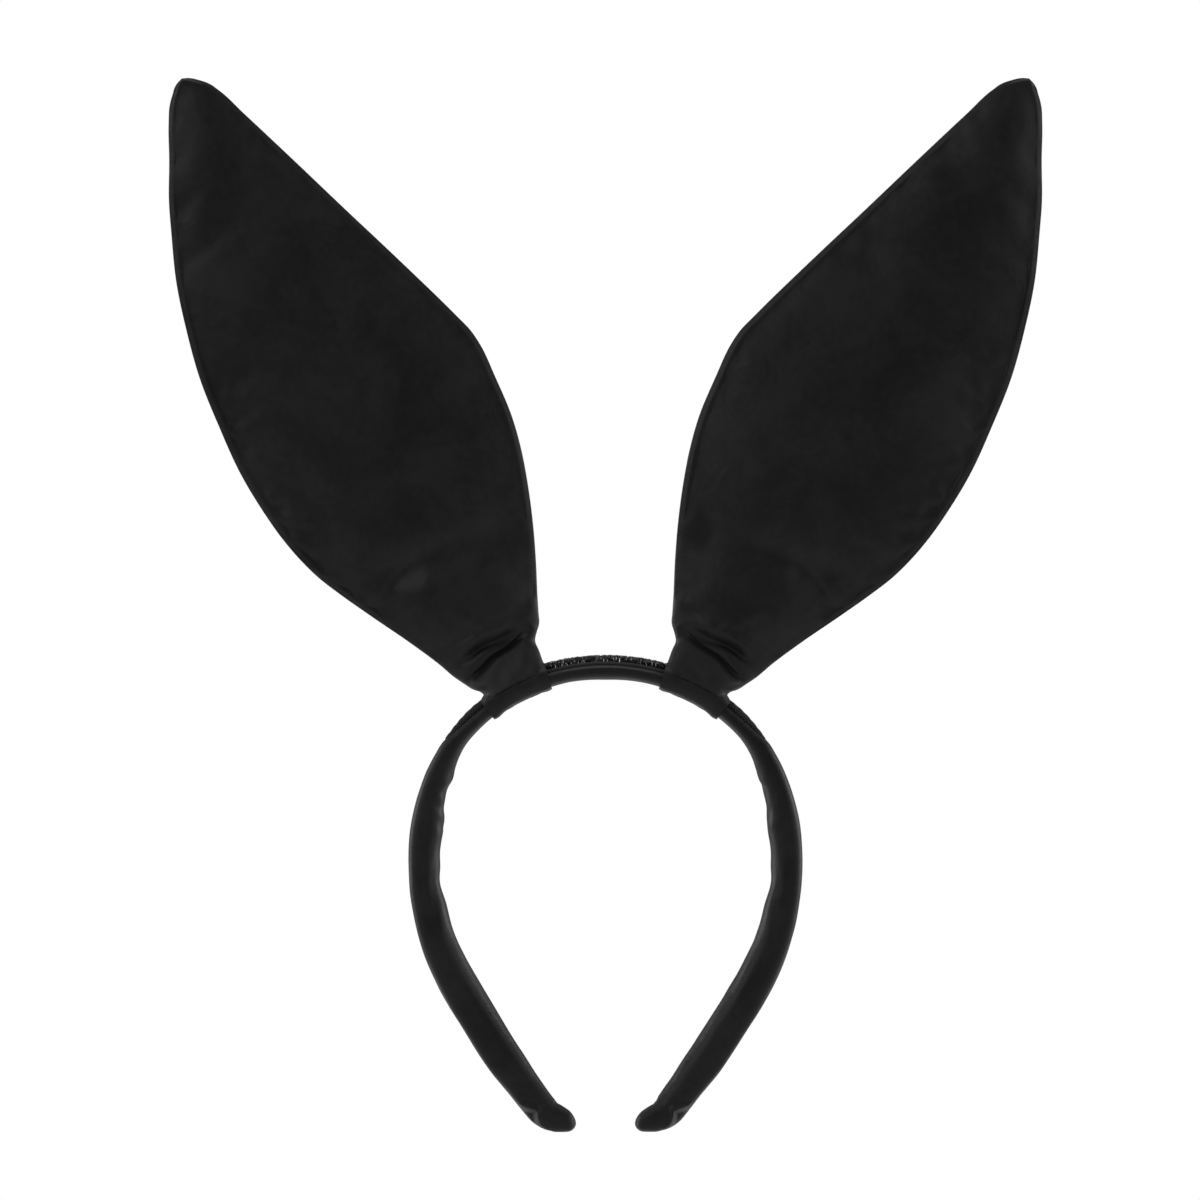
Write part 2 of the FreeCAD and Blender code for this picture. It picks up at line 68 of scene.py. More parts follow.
object_height = cad_high.z - cad_low.z
picture_width = 1.1368 * object_height
camera_distance = 6.0
camera_data = bpy.data.cameras.new("camera")
camera_data.sensor_width = 36.0
camera_data.lens = camera_data.sensor_width * camera_distance / picture_width
camera_data.clip_end = 100.0
camera = bpy.data.objects.new("camera", camera_data)
camera.location = (-0.0018, -camera_distance, (cad_low.z + cad_high.z) / 2 + 0.0011)
camera.rotation_euler = (math.radians(90), 0, 0)
scene.collection.objects.link(camera)
scene.camera = camera


def softbox(name, place, size, watts):
    """A square area lamp at a place, turned to face the middle of the ears and band."""
    lamp = bpy.data.lights.new(name, "AREA")
    lamp.shape = "SQUARE"
    lamp.size = size
    lamp.energy = watts
    holder = bpy.data.objects.new(name, lamp)
    holder.location = place
    middle = (cad_low + cad_high) / 2
    holder.rotation_euler = (middle - holder.location).to_track_quat("-Z", "Y").to_euler()
    scene.collection.objects.link(holder)


softbox("key_softbox", (-1.7, -1.5, 1.1), 1.2, 18.5)
softbox("fill_softbox", (1.9, -1.1, 0.6), 1.2, 12)
softbox("top_softbox", (0.0, 0.2, 2.0), 1.6, 20)
softbox("left_side_softbox", (-2.0, 0.7, 0.4), 1.3, 27)
softbox("right_side_softbox", (2.0, 0.7, 0.4), 1.3, 27)

# The room is white to look at, and gives the cloth only a low even light.
world = bpy.data.worlds.new("white_studio")
scene.world = world
world.use_nodes = True
room = world.node_tree
room.nodes.clear()
room_out = room.nodes.new("ShaderNodeOutputWorld")
room_mix = room.nodes.new("ShaderNodeMixShader")
room_path = room.nodes.new("ShaderNodeLightPath")
room.links.new(room_path.outputs["Is Camera Ray"], room_mix.inputs[0])
for slot_number, strength in ((1, 0.22), (2, 1.0)):
    glow = room.nodes.new("ShaderNodeBackground")
    glow.inputs["Color"].default_value = (1.0, 1.0, 1.0, 1.0)
    glow.inputs["Strength"].default_value = strength
    room.links.new(glow.outputs[0], room_mix.inputs[slot_number])
room.links.new(room_mix.outputs[0], room_out.inputs[0])


class Value:
    """A shader socket that can be used in sums. Each operator adds the Math node that does it."""

    def __init__(self, recipe, socket):
        self.recipe = recipe
        self.socket = socket

    def _maths(self, operation, *terms):
        settings = {"operation": operation}
        return self.recipe.add("ShaderNodeMath", settings, dict(enumerate(terms)))

    def __add__(self, other):
        return self._maths("ADD", self, other)

    def __radd__(self, other):
        return self._maths("ADD", other, self)

    def __sub__(self, other):
        return self._maths("SUBTRACT", self, other)

    def __rsub__(self, other):
        return self._maths("SUBTRACT", other, self)

    def __mul__(self, other):
        return self._maths("MULTIPLY", self, other)

    def __rmul__(self, other):
        return self._maths("MULTIPLY", other, self)

    def wave(self):
        """The sine of the value."""
        return self._maths("SINE", self)

    def ramp(self, low, high):
        """0 where the value is at or under low, 1 at or over high, and smooth between."""
        return self.recipe.add(
            "ShaderNodeMapRange",
            {"interpolation_type": "SMOOTHSTEP"},
            {"Value": self, "From Min": low, "From Max": high},
        )


class Recipe:
    """A material under construction: its node tree, and a Principled shader at its end."""

    def __init__(self, name, **fixed):
        self.material = bpy.data.materials.new(name)
        self.material.use_nodes = True
        self.tree = self.material.node_tree
        self.tree.nodes.clear()
        self.shader = self.tree.nodes.new("ShaderNodeBsdfPrincipled")
        self.end = self.tree.nodes.new("ShaderNodeOutputMaterial")
        self.tree.links.new(self.shader.outputs[0], self.end.inputs[0])
        for socket, setting in fixed.items():
            self.shader.inputs[socket.replace("_", " ")].default_value = setting

    def add(self, kind, settings, sockets, output=0):
        """Any other node: its settings first, then its sockets' values or links."""
        node = self.tree.nodes.new(kind)
        for key, setting in settings.items():
            setattr(node, key, setting)
        for key, given in sockets.items():
            if isinstance(given, Value):
                self.tree.links.new(given.socket, node.inputs[key])
            else:
                node.inputs[key].default_value = given
        return Value(self, node.outputs[output])

    def feed(self, socket, given):
        """Links what varies over the surface to one of the shader's sockets."""
        self.tree.links.new(given.socket, self.shader.inputs[socket])

    def place(self):
        """Object coordinates, which hold still on the piece."""
        return self.add("ShaderNodeTexCoord", {}, {}, "Object")

    def cloth(self):
        """The piece's own UV map, in metres along and across the cloth."""
        return self.add("ShaderNodeUVMap", {"uv_map": "cloth"}, {}, "UV")

    def noise(self, where, scale, detail=2.0, roughness=0.5, distortion=0.0):
        """A smooth random value about 0.5, with scale lumps to the metre."""
        sockets = {"Vector": where, "Scale": scale, "Detail": detail}
        sockets.update({"Roughness": roughness, "Distortion": distortion})
        return self.add("ShaderNodeTexNoise", {}, sockets, "Fac")

    def colour(self, share, first, second):
        """Feeds the base colour with one between two colours, by a share from 0 to 1."""
        sockets = {"Factor": share, 6: (*first, 1.0), 7: (*second, 1.0)}
        self.feed("Base Color", self.add("ShaderNodeMix", {"data_type": "RGBA"}, sockets, 2))

    def bump(self, height, distance, strength=1.0, under=None):
        """A Bump node, over another one where one is given."""
        sockets = {"Height": height, "Distance": distance, "Strength": strength}
        if under:
            sockets["Normal"] = under
        return self.add("ShaderNodeBump", {}, sockets)

    def part(self, vector, axis):
        """One coordinate of a vector."""
        return self.add("ShaderNodeSeparateXYZ", {}, {0: vector}, axis)


floor_recipe = Recipe("pale_floor", Roughness=0.7, Base_Color=(0.86, 0.86, 0.86, 1.0))
floor_place = floor_recipe.place()
floor_reach = floor_recipe.add(
    "ShaderNodeVectorMath", {"operation": "LENGTH"}, {0: floor_place}, "Value"
)
floor_recipe.feed("Alpha", 1 - floor_reach.ramp(0.5, 1.45))

floor_drop = 0.085
floor_radius = 1.5
bpy.ops.mesh.primitive_circle_add(vertices=128, radius=floor_radius, fill_type="NGON")
floor = bpy.context.object
floor.name = "floor"
floor.location = (0, 0, cad_low.z - floor_drop)
floor.data.materials.append(floor_recipe.material)

# ---- satin ----
# The band, the ears and their feet are all cut from one black polyester satin: a smooth, close
# weave with long floats, so it is dark, with a soft sheen that runs across the threads.


def satin_recipe():
    """Black satin, with its thread lines, slub tone, painted shade in soft patches where wrinkles would
    shade it, and softly worn folds.
    """
    satin = Recipe(
        "black_satin",
        Specular_IOR_Level=0.22,
        Sheen_Weight=0.03,
        Sheen_Roughness=0.45,
        Sheen_Tint=(0.75, 0.77, 0.8, 1.0),
    )
    where = satin.place()
    cloth = satin.cloth()
    across, along = satin.part(cloth, "X"), satin.part(cloth, "Y")
    patches = satin.noise(where, 38.0, 4.0, 0.6, 0.6)
    slubs = satin.noise(where, 420.0, 3.0, 0.55)
    # the base colour mixes the slubs' own tone with painted shade: soft dark and light patches that
    # stand in for the shading of wrinkles
    slub_tone_and_painted_shade = (patches * 0.75 + slubs * 0.25).ramp(0.36, 0.64)
    satin.colour(slub_tone_and_painted_shade, (0.0019, 0.0019, 0.0020), (0.0068, 0.0068, 0.0071))
    satin.feed("Roughness", 0.36 + patches * 0.2 + slubs * 0.06)
    # A satin float passes over four threads, so the thread lines lie aslant and stagger.
    threads = ((across + along * 0.25) * (2 * math.pi / 0.00034)).wave()
    picks = ((along - across * 0.25) * (2 * math.pi / 0.00052)).wave()
    fine = satin.bump(threads * 0.6 + picks * 0.4 + slubs * 0.8, 0.00002, 0.35)
    creases = satin.noise(where, 95.0, 3.0, 0.6, 1.2)
    satin.feed("Normal", satin.bump(creases, 0.0006, 0.35, fine))
    return satin.material


satin_cloth = satin_recipe()


def cubic(values, slopes, k, f, gap=1.0):
    """The cubic from value k to value k + 1, read at the share f of the way, which has the given
    slopes at its two ends."""
    rise = values[k + 1] - values[k]
    a, b = slopes[k] * gap - rise, rise - slopes[k + 1] * gap
    return values[k] + f * rise + f * (1 - f) * (a * (1 - f) + b * f)


def through(stations, values, at):
    """A smooth curve through (station, value) pairs, read at every place in at. Between two
    stations it is a cubic whose end slopes are those of the chords across each station."""
    stations, values = np.asarray(stations, float), np.asarray(values, float)
    slopes = np.gradient(values, stations)
    at = np.clip(at, stations[0], stations[-1])
    k = np.clip(np.searchsorted(stations, at, side="right") - 1, 0, len(stations) - 2)
    gap = stations[k + 1] - stations[k]
    return cubic(values, slopes, k, (at - stations[k]) / gap, gap)


def step(low, high, x):
    """0 up to low, 1 from high on, and a smooth rise between."""
    f = np.clip((x - low) / (high - low), 0, 1)
    return f * f * (3 - 2 * f)


def bell(x, centre, width):
    """1 at the centre, and falling away to nothing over about two widths."""
    return np.exp(-(((x - centre) / width) ** 2))


def squarish(wave, power):
    """A sine or a cosine drawn out towards a square wave: its size to a power, with its sign."""
    return np.sign(wave) * np.abs(wave) ** power


def ripple(points, wavelength, seed, waves=14):
    """A smooth random field from about -1 to 1: plane waves in scattered directions, of about one
    wavelength, added together. points is an array of places, in any number of coordinates."""
    dice = np.random.default_rng(seed)
    points = np.asarray(points, float)
    total = np.zeros(points.shape[:-1])
    for _ in range(waves):
        direction = dice.normal(size=points.shape[-1])
        direction /= np.linalg.norm(direction)
        length = wavelength * dice.uniform(0.7, 1.5)
        total += np.sin(points @ direction * (2 * np.pi / length) + dice.uniform(0, 2 * np.pi))
    return total / np.sqrt(waves)


def outward(grid):
    """The unit normal at every point of a closed-round grid, as the cross product of the two
    central differences, turned to point away from the middle of each row."""
    round_it = np.roll(grid, -1, axis=1) - np.roll(grid, 1, axis=1)
    along_it = np.gradient(grid, axis=0)
    normal = np.cross(round_it, along_it)
    length = np.linalg.norm(normal, axis=2, keepdims=True)
    normal = normal / np.maximum(length, 1e-12)
    out = grid - grid.mean(axis=1, keepdims=True)
    if (normal * out).sum() < 0:
        normal = -normal
    return normal


def new_piece(name, mesh, material):
    """Makes a mesh into a smooth piece of the object, with a material."""
    mesh.polygons.foreach_set("use_smooth", np.ones(len(mesh.polygons), bool))
    mesh.materials.append(material)
    mesh.update()
    piece = bpy.data.objects.new(name, mesh)
    scene.collection.objects.link(piece)
    return piece


def tube(name, grid, material, normals=None, closed_along=False):
    """A closed piece from a grid of points in metres, rows along it and points round each row.
    Each end is closed with a fan of triangles, or the last row joins the first. Where normals are
    given, it is shaded with them, so that two pieces cut from one surface look like one."""
    rows, around = grid.shape[:2]
    index = np.arange(rows * around).reshape(rows, around)
    following = np.roll(index, -1, axis=1)
    if closed_along:
        far, far_following = np.roll(index, -1, axis=0), np.roll(following, -1, axis=0)
    else:
        index, far = index[:-1], index[1:]
        following, far_following = following[:-1], following[1:]
    quads = np.stack([index, following, far_following, far], axis=-1).reshape(-1, 4)
    points = grid.reshape(-1, 3)
    fans = []
    if not closed_along:
        ends = np.array([grid[0].mean(axis=0), grid[-1].mean(axis=0)])
        first = np.arange(around)
        last = first + (rows - 1) * around
        count = rows * around
        fans.append(np.stack([np.roll(first, -1), first, np.full(around, count)], axis=-1))
        fans.append(np.stack([last, np.roll(last, -1), np.full(around, count + 1)], axis=-1))
        points = np.concatenate([points, ends])
    # the faces are turned round where they would enclose a negative volume
    a, b, c = (points[quads[:, corner]] - points.mean(axis=0) for corner in range(3))
    if np.einsum("ij,ij->i", a, np.cross(b, c)).sum() < 0:
        quads = quads[:, ::-1]
        fans = [fan[:, ::-1] for fan in fans]
    mesh = bpy.data.meshes.new(name)
    faces = quads.tolist() + [face for fan in fans for face in fan.tolist()]
    mesh.from_pydata(points.tolist(), [], faces)
    lay_cloth(mesh, grid, quads, fans)
    piece = new_piece(name, mesh, material)
    if normals is not None:
        shading = normals.reshape(-1, 3)
        if not closed_along:
            axis = ends[1] - ends[0]
            axis /= np.linalg.norm(axis)
            shading = np.concatenate([shading, [-axis, axis]])
        mesh.normals_split_custom_set_from_vertices(shading.tolist())
    return piece


def lay_cloth(mesh, grid, quads, fans):
    """Gives a grid's mesh its UV map: metres of cloth round the middle row, and along the first
    column. The last quad of a row goes on past the others instead of back to the start."""
    rows, around = grid.shape[:2]
    ring = np.linalg.norm(np.roll(grid[rows // 2], -1, axis=0) - grid[rows // 2], axis=1)
    u = np.concatenate([[0], np.cumsum(ring)])
    run = np.linalg.norm(np.diff(grid[:, 0], axis=0), axis=1)
    v = np.concatenate([[0], np.cumsum(run)])
    column, row = quads % around, quads // around
    wraps = (column.max(axis=1) - column.min(axis=1)) > 1
    column = np.where(wraps[:, None] & (column == 0), around, column)
    flat = np.stack([u[column], v[row]], axis=-1).reshape(-1, 2)
    for fan in fans:
        inside = fan < rows * around
        c, r = np.where(inside, fan % around, 0), np.where(inside, fan // around, rows // 2)
        flat = np.concatenate([flat, np.stack([u[c], v[r]], axis=-1).reshape(-1, 2)])
    mesh.uv_layers.new(name="cloth").data.foreach_set("uv", flat.ravel().astype(np.float32))


def mirror(grid):
    """The wearer's right-hand copy of a left-hand grid of points or normals."""
    return grid * np.array([-1.0, 1.0, 1.0])


sides = {"left": lambda grid: grid, "right": mirror}

# ---- the band's line ----
# The band is a strip that follows four arcs, each running on into the next, and a short straight
# toe. It is thin over the crown and padded along the legs, where it presses on the head.

mm = 0.001
band_arcs = ((65.8, 95.0), (91.0, 21.9), (211.0, 14.8), (12.8, 48.0))
toe_length = 6.2
crown_radius = band_arcs[0][0]


def band_line(run):
    """The outer line of the left leg at distances run from the crown's top, in millimetres: the
    points (x, z) and the heading, the angle from +Z of the way out from the head."""
    centre = np.zeros(2)
    start, heading = 0.0, 0.0
    points = np.zeros(run.shape + (2,))
    angle = np.zeros(run.shape)
    for number, (radius, sweep) in enumerate(band_arcs):
        if number:
            shift = band_arcs[number - 1][0] - radius
            centre = centre + shift * np.array([np.sin(heading), np.cos(heading)])
        on_it = run >= start - 1e-9
        turned = heading + (run - start) / radius
        angle = np.where(on_it, turned, angle)
        arc = centre + radius * np.stack([np.sin(turned), np.cos(turned)], axis=-1)
        points = np.where(on_it[..., None], arc, points)
        start += radius * math.radians(sweep)
        heading += math.radians(sweep)
    beyond = run > start
    corner = centre + band_arcs[-1][0] * np.array([np.sin(heading), np.cos(heading)])
    ahead = np.array([np.cos(heading), -np.sin(heading)])
    straight = corner + (run - start)[..., None] * ahead
    points = np.where(beyond[..., None], straight, points)
    return points, np.where(beyond, heading, angle)


band_length = sum(radius * math.radians(sweep) for radius, sweep in band_arcs) + toe_length
head_side = (
    (0, 5.0), (14, 4.75), (22, 4.75), (40, 4.8), (47, 4.95), (57, 5.3), (63, 6.3), (70, 8.0), (75, 8.3),
    (81, 9.4), (88, 11.0), (98, 11.1), (104, 11.1), (110, 10.7), (119, 11.9), (128, 12.0), (140, 12.4),
    (156, 12.8), (168, 12.8), (180, 12.4), (192, 11.3), (198, 10.8), (204, 10.4), (209, 9.1),
    (212, 7.3), (band_length, 5.1),
)
outer_side = (
    (0, 0.0), (20, 0.0), (40, 0.0), (50, 0.0), (56, -0.45), (61, -1.3), (66, -1.05), (72, -0.75),
    (80, -0.2), (88, 0.15), (96, 0.55), (104, 0.75), (120, 0.5), (132, 0.25), (146, 0.1), (166, 0.3),
    (179, 0.0), (189, 0.3), (197, 0.0), (205, -0.1), (band_length, 0.0),
)


def band_top(run):
    """How far the sleeve's outer side lies below the strip's line: a little slack at the temples,
    and a swell where the tape ends."""
    return through(*zip(*outer_side), np.abs(run))


def band_depth(run):
    """How far the covered band reaches towards the head, at distances run from the crown's top."""
    return through(*zip(*head_side), np.abs(run))


def band_width(run):
    """How wide it is, front to back: even to below the temples, and then narrower to the toe."""
    return through((0, 120, 160, 195, band_length), (15, 15, 13.4, 11.6, 10.0), np.abs(run))


def on_band(run, across, depth):
    """Points of the band from a distance along it, which is negative on the wearer's right, a
    place across it, positive to the back, and a depth towards the head. In metres."""
    line, heading = band_line(np.abs(run))
    x = (line[..., 0] - depth * np.sin(heading)) * np.where(run < 0, -1, 1)
    z = line[..., 1] - depth * np.cos(heading)
    return np.stack([x, across + 0 * x, z], axis=-1) * mm


# ---- the band's sleeve ----
# A tube of satin pulled over the strip and its foam, joined by a seam along the head side and
# turned in at the toes. It is taut over the strip and puckers on the head side of each bend.

sleeve_around = 112
toe_rounding = 2.6
round_angle = np.linspace(0, 2 * np.pi, sleeve_around, endpoint=False)


def sleeve_grid(run):
    """The sleeve's surface at a row of distances along the band. Each section is a squarish oval,
    flatter over the strip and rounder on the head side, and wrinkles are added to its depth."""
    r, t = np.meshgrid(run, round_angle, indexing="ij")
    cosine, sine = np.cos(t), np.sin(t)
    away = np.abs(r)
    top, depth, width = band_top(r), band_depth(r), band_width(r)
    across = width / 2 * squarish(cosine, np.where(sine > 0, 0.46, 0.8))
    rise = squarish(sine, np.where(sine > 0, 0.5, 0.86))
    end = np.clip((band_length - away) / toe_rounding, 0, 1)
    rounding = np.sqrt(1 - (1 - end) ** 2)
    inner = step(0.15, -0.7, sine)
    shoulder = bell(sine, -0.35, 0.35)
    where = np.stack([r, across * 1.2, rise * 6], axis=-1)
    # puckers on the head side at the temples, where the padded side of the bend is the shorter one
    temple = step(60, 74, away) * (1 - step(82, 98, away))
    pucker = np.sin(2 * np.pi * (away + 2.2 * ripple(where, 19, 3) + 0.35 * across) / 7.5)
    wrinkle = temple * inner * (0.12 * pucker + 0.14 * ripple(where, 9, 4))
    wrinkle += temple * shoulder * (0.08 * pucker + 0.08 * ripple(where, 8, 5))
    # a fold that starts from the seam below the temple and runs out along the side
    fold_line = rise - (-0.78 + 0.022 * (away - 104))
    fold = step(97, 105, away) * (1 - step(121, 134, away))
    wrinkle += fold * (0.26 * bell(fold_line, -0.24, 0.22) - 0.16 * bell(fold_line, 0.12, 0.2))
    # slack that drifts along the legs, and a faint unevenness everywhere
    leg = step(110, 150, away)
    drift = np.stack([r * 0.3 + across * 1.2, rise * 5], axis=-1)
    wrinkle += leg * (0.10 + 0.10 * inner) * ripple(drift, 9, 6)
    wrinkle += 0.04 * ripple(where, 12, 7)
    # the seam along the middle of the head side sinks in a little
    seam = bell(across, 0.0, 0.45) * (sine < 0)
    # near the toe the cloth is tucked in behind its front edge, which leaves a small dark pocket
    tuck_line = np.abs(away - 198.4) / 5.6 + np.maximum(0.95 - rise, 0) / 0.66
    lip = 0.24 * bell(tuck_line, 1.14, 0.17) * step(0.95, 0.8, rise)
    tuck = ((1 - step(0.45, 0.98, tuck_line)) * 0.8 - lip) * step(4.0, -1.5, across)
    # and the cloth of the very end is folded over once more, with a soft edge
    cuff = 0.12 * step(206.6, 208.4, away + 0.1 * across) - 0.04 * bell(away + 0.1 * across, 206.2, 0.6)
    swell = wrinkle - 0.2 * seam + cuff * (1 - step(211, 214, away))
    middle, half = (top + depth) / 2, (depth - top) / 2
    down = middle - (half + swell) * rise * rounding
    out = across * rounding * (1 + swell / width * 1.4) + 3.6 * tuck
    return on_band(r, out, down)


def sections(low, high, spacing):
    """Even distances from low to high, no further apart than the spacing."""
    return np.linspace(low, high, int(np.ceil((high - low) / spacing)) + 1)


sleeve_split = crown_radius * math.radians(27.5)
leg_run = sections(sleeve_split, band_length - toe_rounding, 0.6)
toe_run = band_length - toe_rounding * (1 - np.sin(np.linspace(0, np.pi / 2, 9)[1:-1]))
leg_run = np.concatenate([leg_run, toe_run, [band_length - 0.02]])
crown_run = sections(-sleeve_split, sleeve_split, 0.75)
whole_run = np.concatenate([-leg_run[:0:-1], crown_run, leg_run[1:]])
sleeve = sleeve_grid(whole_run)
sleeve_normals = outward(sleeve)
right_end = len(leg_run)
left_start = right_end + len(crown_run) - 1

flex_start_angle, flex_end_angle = math.radians(50), math.radians(78)
flex_ends = [
    tuple(on_band(np.array(crown_radius * angle), 0.0, 2.5))
    for angle in (flex_start_angle, flex_end_angle)
]


def bend_with_leg(piece, side):
    """Works out the ends of the hinge on the piece's side, and bakes the piece's place into its mesh.
    """
    sign = 1 if side == "left" else -1
    start, end = ((sign * p[0], p[1], p[2]) for p in flex_ends)
    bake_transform(piece)


crown_rows = slice(right_end - 1, left_start + 1)
crown_sleeve = tube(
    "band_sleeve_crown_satin", sleeve[crown_rows], satin_cloth, sleeve_normals[crown_rows]
)
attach(crown_sleeve, "crown")
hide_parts("band_sleeve_crown")
for side, rows in (("right", slice(0, right_end)), ("left", slice(left_start, None))):
    leg_sleeve = tube(
        f"band_sleeve_leg_{side}_satin", sleeve[rows], satin_cloth, sleeve_normals[rows]
    )
    bend_with_leg(leg_sleeve, side)
    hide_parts(f"band_sleeve_leg_{side}")

# ---- inside the band ----
# A springy plastic strip gives the band its shape and grip. Grey foam is glued to its head side,
# thicker along the legs. Both grow narrower before the toes, where the sleeve is tucked in.

plastic = Recipe("black_core_plastic", Roughness=0.38)
scuffs = plastic.noise(plastic.place(), 260.0, 5.0, 0.65)
plastic.colour(scuffs.ramp(0.4, 0.7), (0.012, 0.012, 0.012), (0.03, 0.03, 0.03))
plastic.feed("Normal", plastic.bump(scuffs, 0.0002, 0.3))

foam = Recipe("grey_foam", Roughness=0.95)
foam_cells = foam.add(
    "ShaderNodeTexVoronoi", {}, {"Vector": foam.place(), "Scale": 1400.0}, "Distance"
)
foam.colour(foam_cells.ramp(0.1, 0.6), (0.16, 0.16, 0.17), (0.36, 0.36, 0.37))
foam.feed("Normal", foam.bump(foam_cells, 0.0004, 0.8))


def strip_grid(run, half_width, top, bottom, corner=0.45):
    """A bar that follows the band, from a depth top to a depth bottom, with rounded corners."""
    t = np.linspace(0, 2 * np.pi, 24, endpoint=False)
    r, t = np.meshgrid(run, t, indexing="ij")
    across = squarish(np.cos(t), corner) * half_width[:, None]
    rise = squarish(np.sin(t), corner)
    middle, half = (top + bottom) / 2, (bottom - top) / 2
    return on_band(r, across, middle[:, None] - half[:, None] * rise)


core_top, core_bottom = 0.9, 2.4
lining = 2.0
side_room = 1.7
inside_stop = band_length - 2.2
for part, low, high in (("crown", -sleeve_split, sleeve_split), ("leg", sleeve_split, inside_stop)):
    run = sections(low, high, 2.0)
    width = (band_width(run) / 2 - side_room) * (1 - 0.65 * step(182, 191, run))
    even = np.ones(len(run))
    bars = {
        "core": strip_grid(run, width - 0.4, core_top * even, core_bottom * even, 0.3),
        "foam": strip_grid(run, width, core_bottom * even + 0.05, band_depth(run) - lining),
    }
    for kind, material, slot in (("core", plastic, "core_plastic"), ("foam", foam, "foam")):
        if part == "crown":
            bar = tube(f"band_{kind}_crown_strip", bars[kind], material.material)
            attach(bar, "crown")
            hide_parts(f"band_{kind}_crown")
            continue
        for side, place in sides.items():
            bar = tube(f"band_{kind}_leg_{side}_strip", place(bars[kind]), material.material)
            bend_with_leg(bar, side)
            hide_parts(f"band_{kind}_leg_{side}")

# ---- the hook tape ----
# A black nylon tape sewn along the top of the crown. Its middle is a field of stiff little hooks,
# and a line of lockstitch holds each bare selvedge down.

tape_half_angle = math.radians(53)
tape_half_width = 5.0
tape_thickness = 1.0
hook_half_field = 3.7
hook_height = 2.3

nylon = Recipe("black_nylon_tape", Roughness=0.62, Specular_IOR_Level=0.35)
nylon_cloth = nylon.cloth()
nylon_u, nylon_v = nylon.part(nylon_cloth, "X"), nylon.part(nylon_cloth, "Y")
nylon_ribs = (nylon_u * (2 * math.pi / 0.0008)).wave() * (nylon_v * (2 * math.pi / 0.0011)).wave()
nylon_fuzz = nylon.noise(nylon.place(), 900.0, 3.0, 0.6)
nylon.colour(nylon_fuzz, (0.004, 0.004, 0.0042), (0.013, 0.013, 0.0135))
nylon.feed("Normal", nylon.bump(nylon_ribs * 0.5 + nylon_fuzz * 0.5, 0.00022, 0.8))

hook_nylon = Recipe("hook_nylon", Roughness=0.4, Specular_IOR_Level=0.5)
# the hooks' colour is painted with random light spots: painted glints that stand in for light caught on
# the hooks
hook_painted_glints = hook_nylon.noise(hook_nylon.place(), 900.0, 1.0).ramp(0.45, 0.7)
hook_nylon.colour(hook_painted_glints, (0.008, 0.008, 0.0085), (0.16, 0.16, 0.165))

tape_end = tape_half_angle * crown_radius
hook_end = math.radians(36.4) * crown_radius
tape_run = sections(-tape_end, tape_end, 0.8)
tape_even = np.ones(len(tape_run))


def tape_top(run):
    """How far the tape's base stands above the strip's line. Its ends are turned under, so they
    are twice as thick, and they thin out where they are sewn down."""
    away = np.abs(run)
    doubled = 1.15 * step(hook_end, hook_end + 1.5, away)
    doubled *= 1 - 0.75 * step(hook_end + 3, tape_end + 2, away)
    return tape_thickness + doubled - 0.35 * step(tape_end - 1.5, tape_end, away)


tape = tube(
    "hook_tape_base",
    strip_grid(tape_run, tape_half_width * tape_even, -tape_top(tape_run), 0.5 * tape_even, 0.3),
    nylon.material,
)
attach(tape, "crown")
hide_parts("hook_tape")


def bent_rods(name, paths, radius, sides_of_rod, material):
    """Many thin rods as one mesh. paths is an array of (rod, point, xyz) in metres. Every point
    gets a small ring, square to the path, and each end is closed with one face."""
    rods, points = paths.shape[:2]
    ahead = np.gradient(paths, axis=1)
    ahead /= np.linalg.norm(ahead, axis=2, keepdims=True)
    start = np.cross(ahead, np.array([0.31, 0.87, 0.38]))
    start /= np.linalg.norm(start, axis=2, keepdims=True)
    other = np.cross(ahead, start)
    turn = np.linspace(0, 2 * np.pi, sides_of_rod, endpoint=False)
    ring = start[:, :, None] * np.cos(turn)[:, None] + other[:, :, None] * np.sin(turn)[:, None]
    radius = np.broadcast_to(radius, (rods, points))
    verts = paths[:, :, None] + ring * radius[:, :, None, None]
    index = np.arange(rods * points * sides_of_rod).reshape(rods, points, sides_of_rod)
    nxt = np.roll(index, -1, axis=2)
    quads = np.stack([index[:, :-1], nxt[:, :-1], nxt[:, 1:], index[:, 1:]], axis=-1).reshape(-1, 4)
    ends = index[:, 0, ::-1].tolist() + index[:, -1].tolist()
    mesh = bpy.data.meshes.new(name)
    mesh.from_pydata(verts.reshape(-1, 3).tolist(), [], quads.tolist() + ends)
    return new_piece(name, mesh, material)


hook_dice = np.random.default_rng(11)
hook_row_count = 11
hook_pitch = 0.72
hook_radius = 0.11
hook_rows = np.linspace(-hook_half_field, hook_half_field, hook_row_count)
hook_runs = sections(-hook_end + 0.5, hook_end - 0.5, hook_pitch)
hook_run, hook_across = np.meshgrid(hook_runs, hook_rows, indexing="ij")
hook_stagger = (np.arange(hook_row_count) * 0.382 % 1 - 0.5) * hook_pitch
hook_run = hook_run + hook_stagger + hook_dice.normal(0, 0.13, hook_run.shape)
hook_across = hook_across + hook_dice.normal(0, 0.09, hook_run.shape)
hook_run, hook_across = hook_run.ravel()[:, None], hook_across.ravel()[:, None]
hook_way = np.where(hook_dice.random(hook_run.shape) < 0.5, -1.0, 1.0)
hook_tall = hook_height * hook_dice.uniform(0.8, 1.06, hook_run.shape)
# the hooks towards the tape's ends are pressed lower, where the feet are drawn down over them
hook_tall *= 1 + 0.08 * step(0.1, 0.25, np.abs(hook_run) / crown_radius)
hook_tall *= 1 - 0.42 * step(0.38, 0.48, np.abs(hook_run) / crown_radius)
hook_lean = hook_dice.normal(0, 0.16, hook_run.shape)
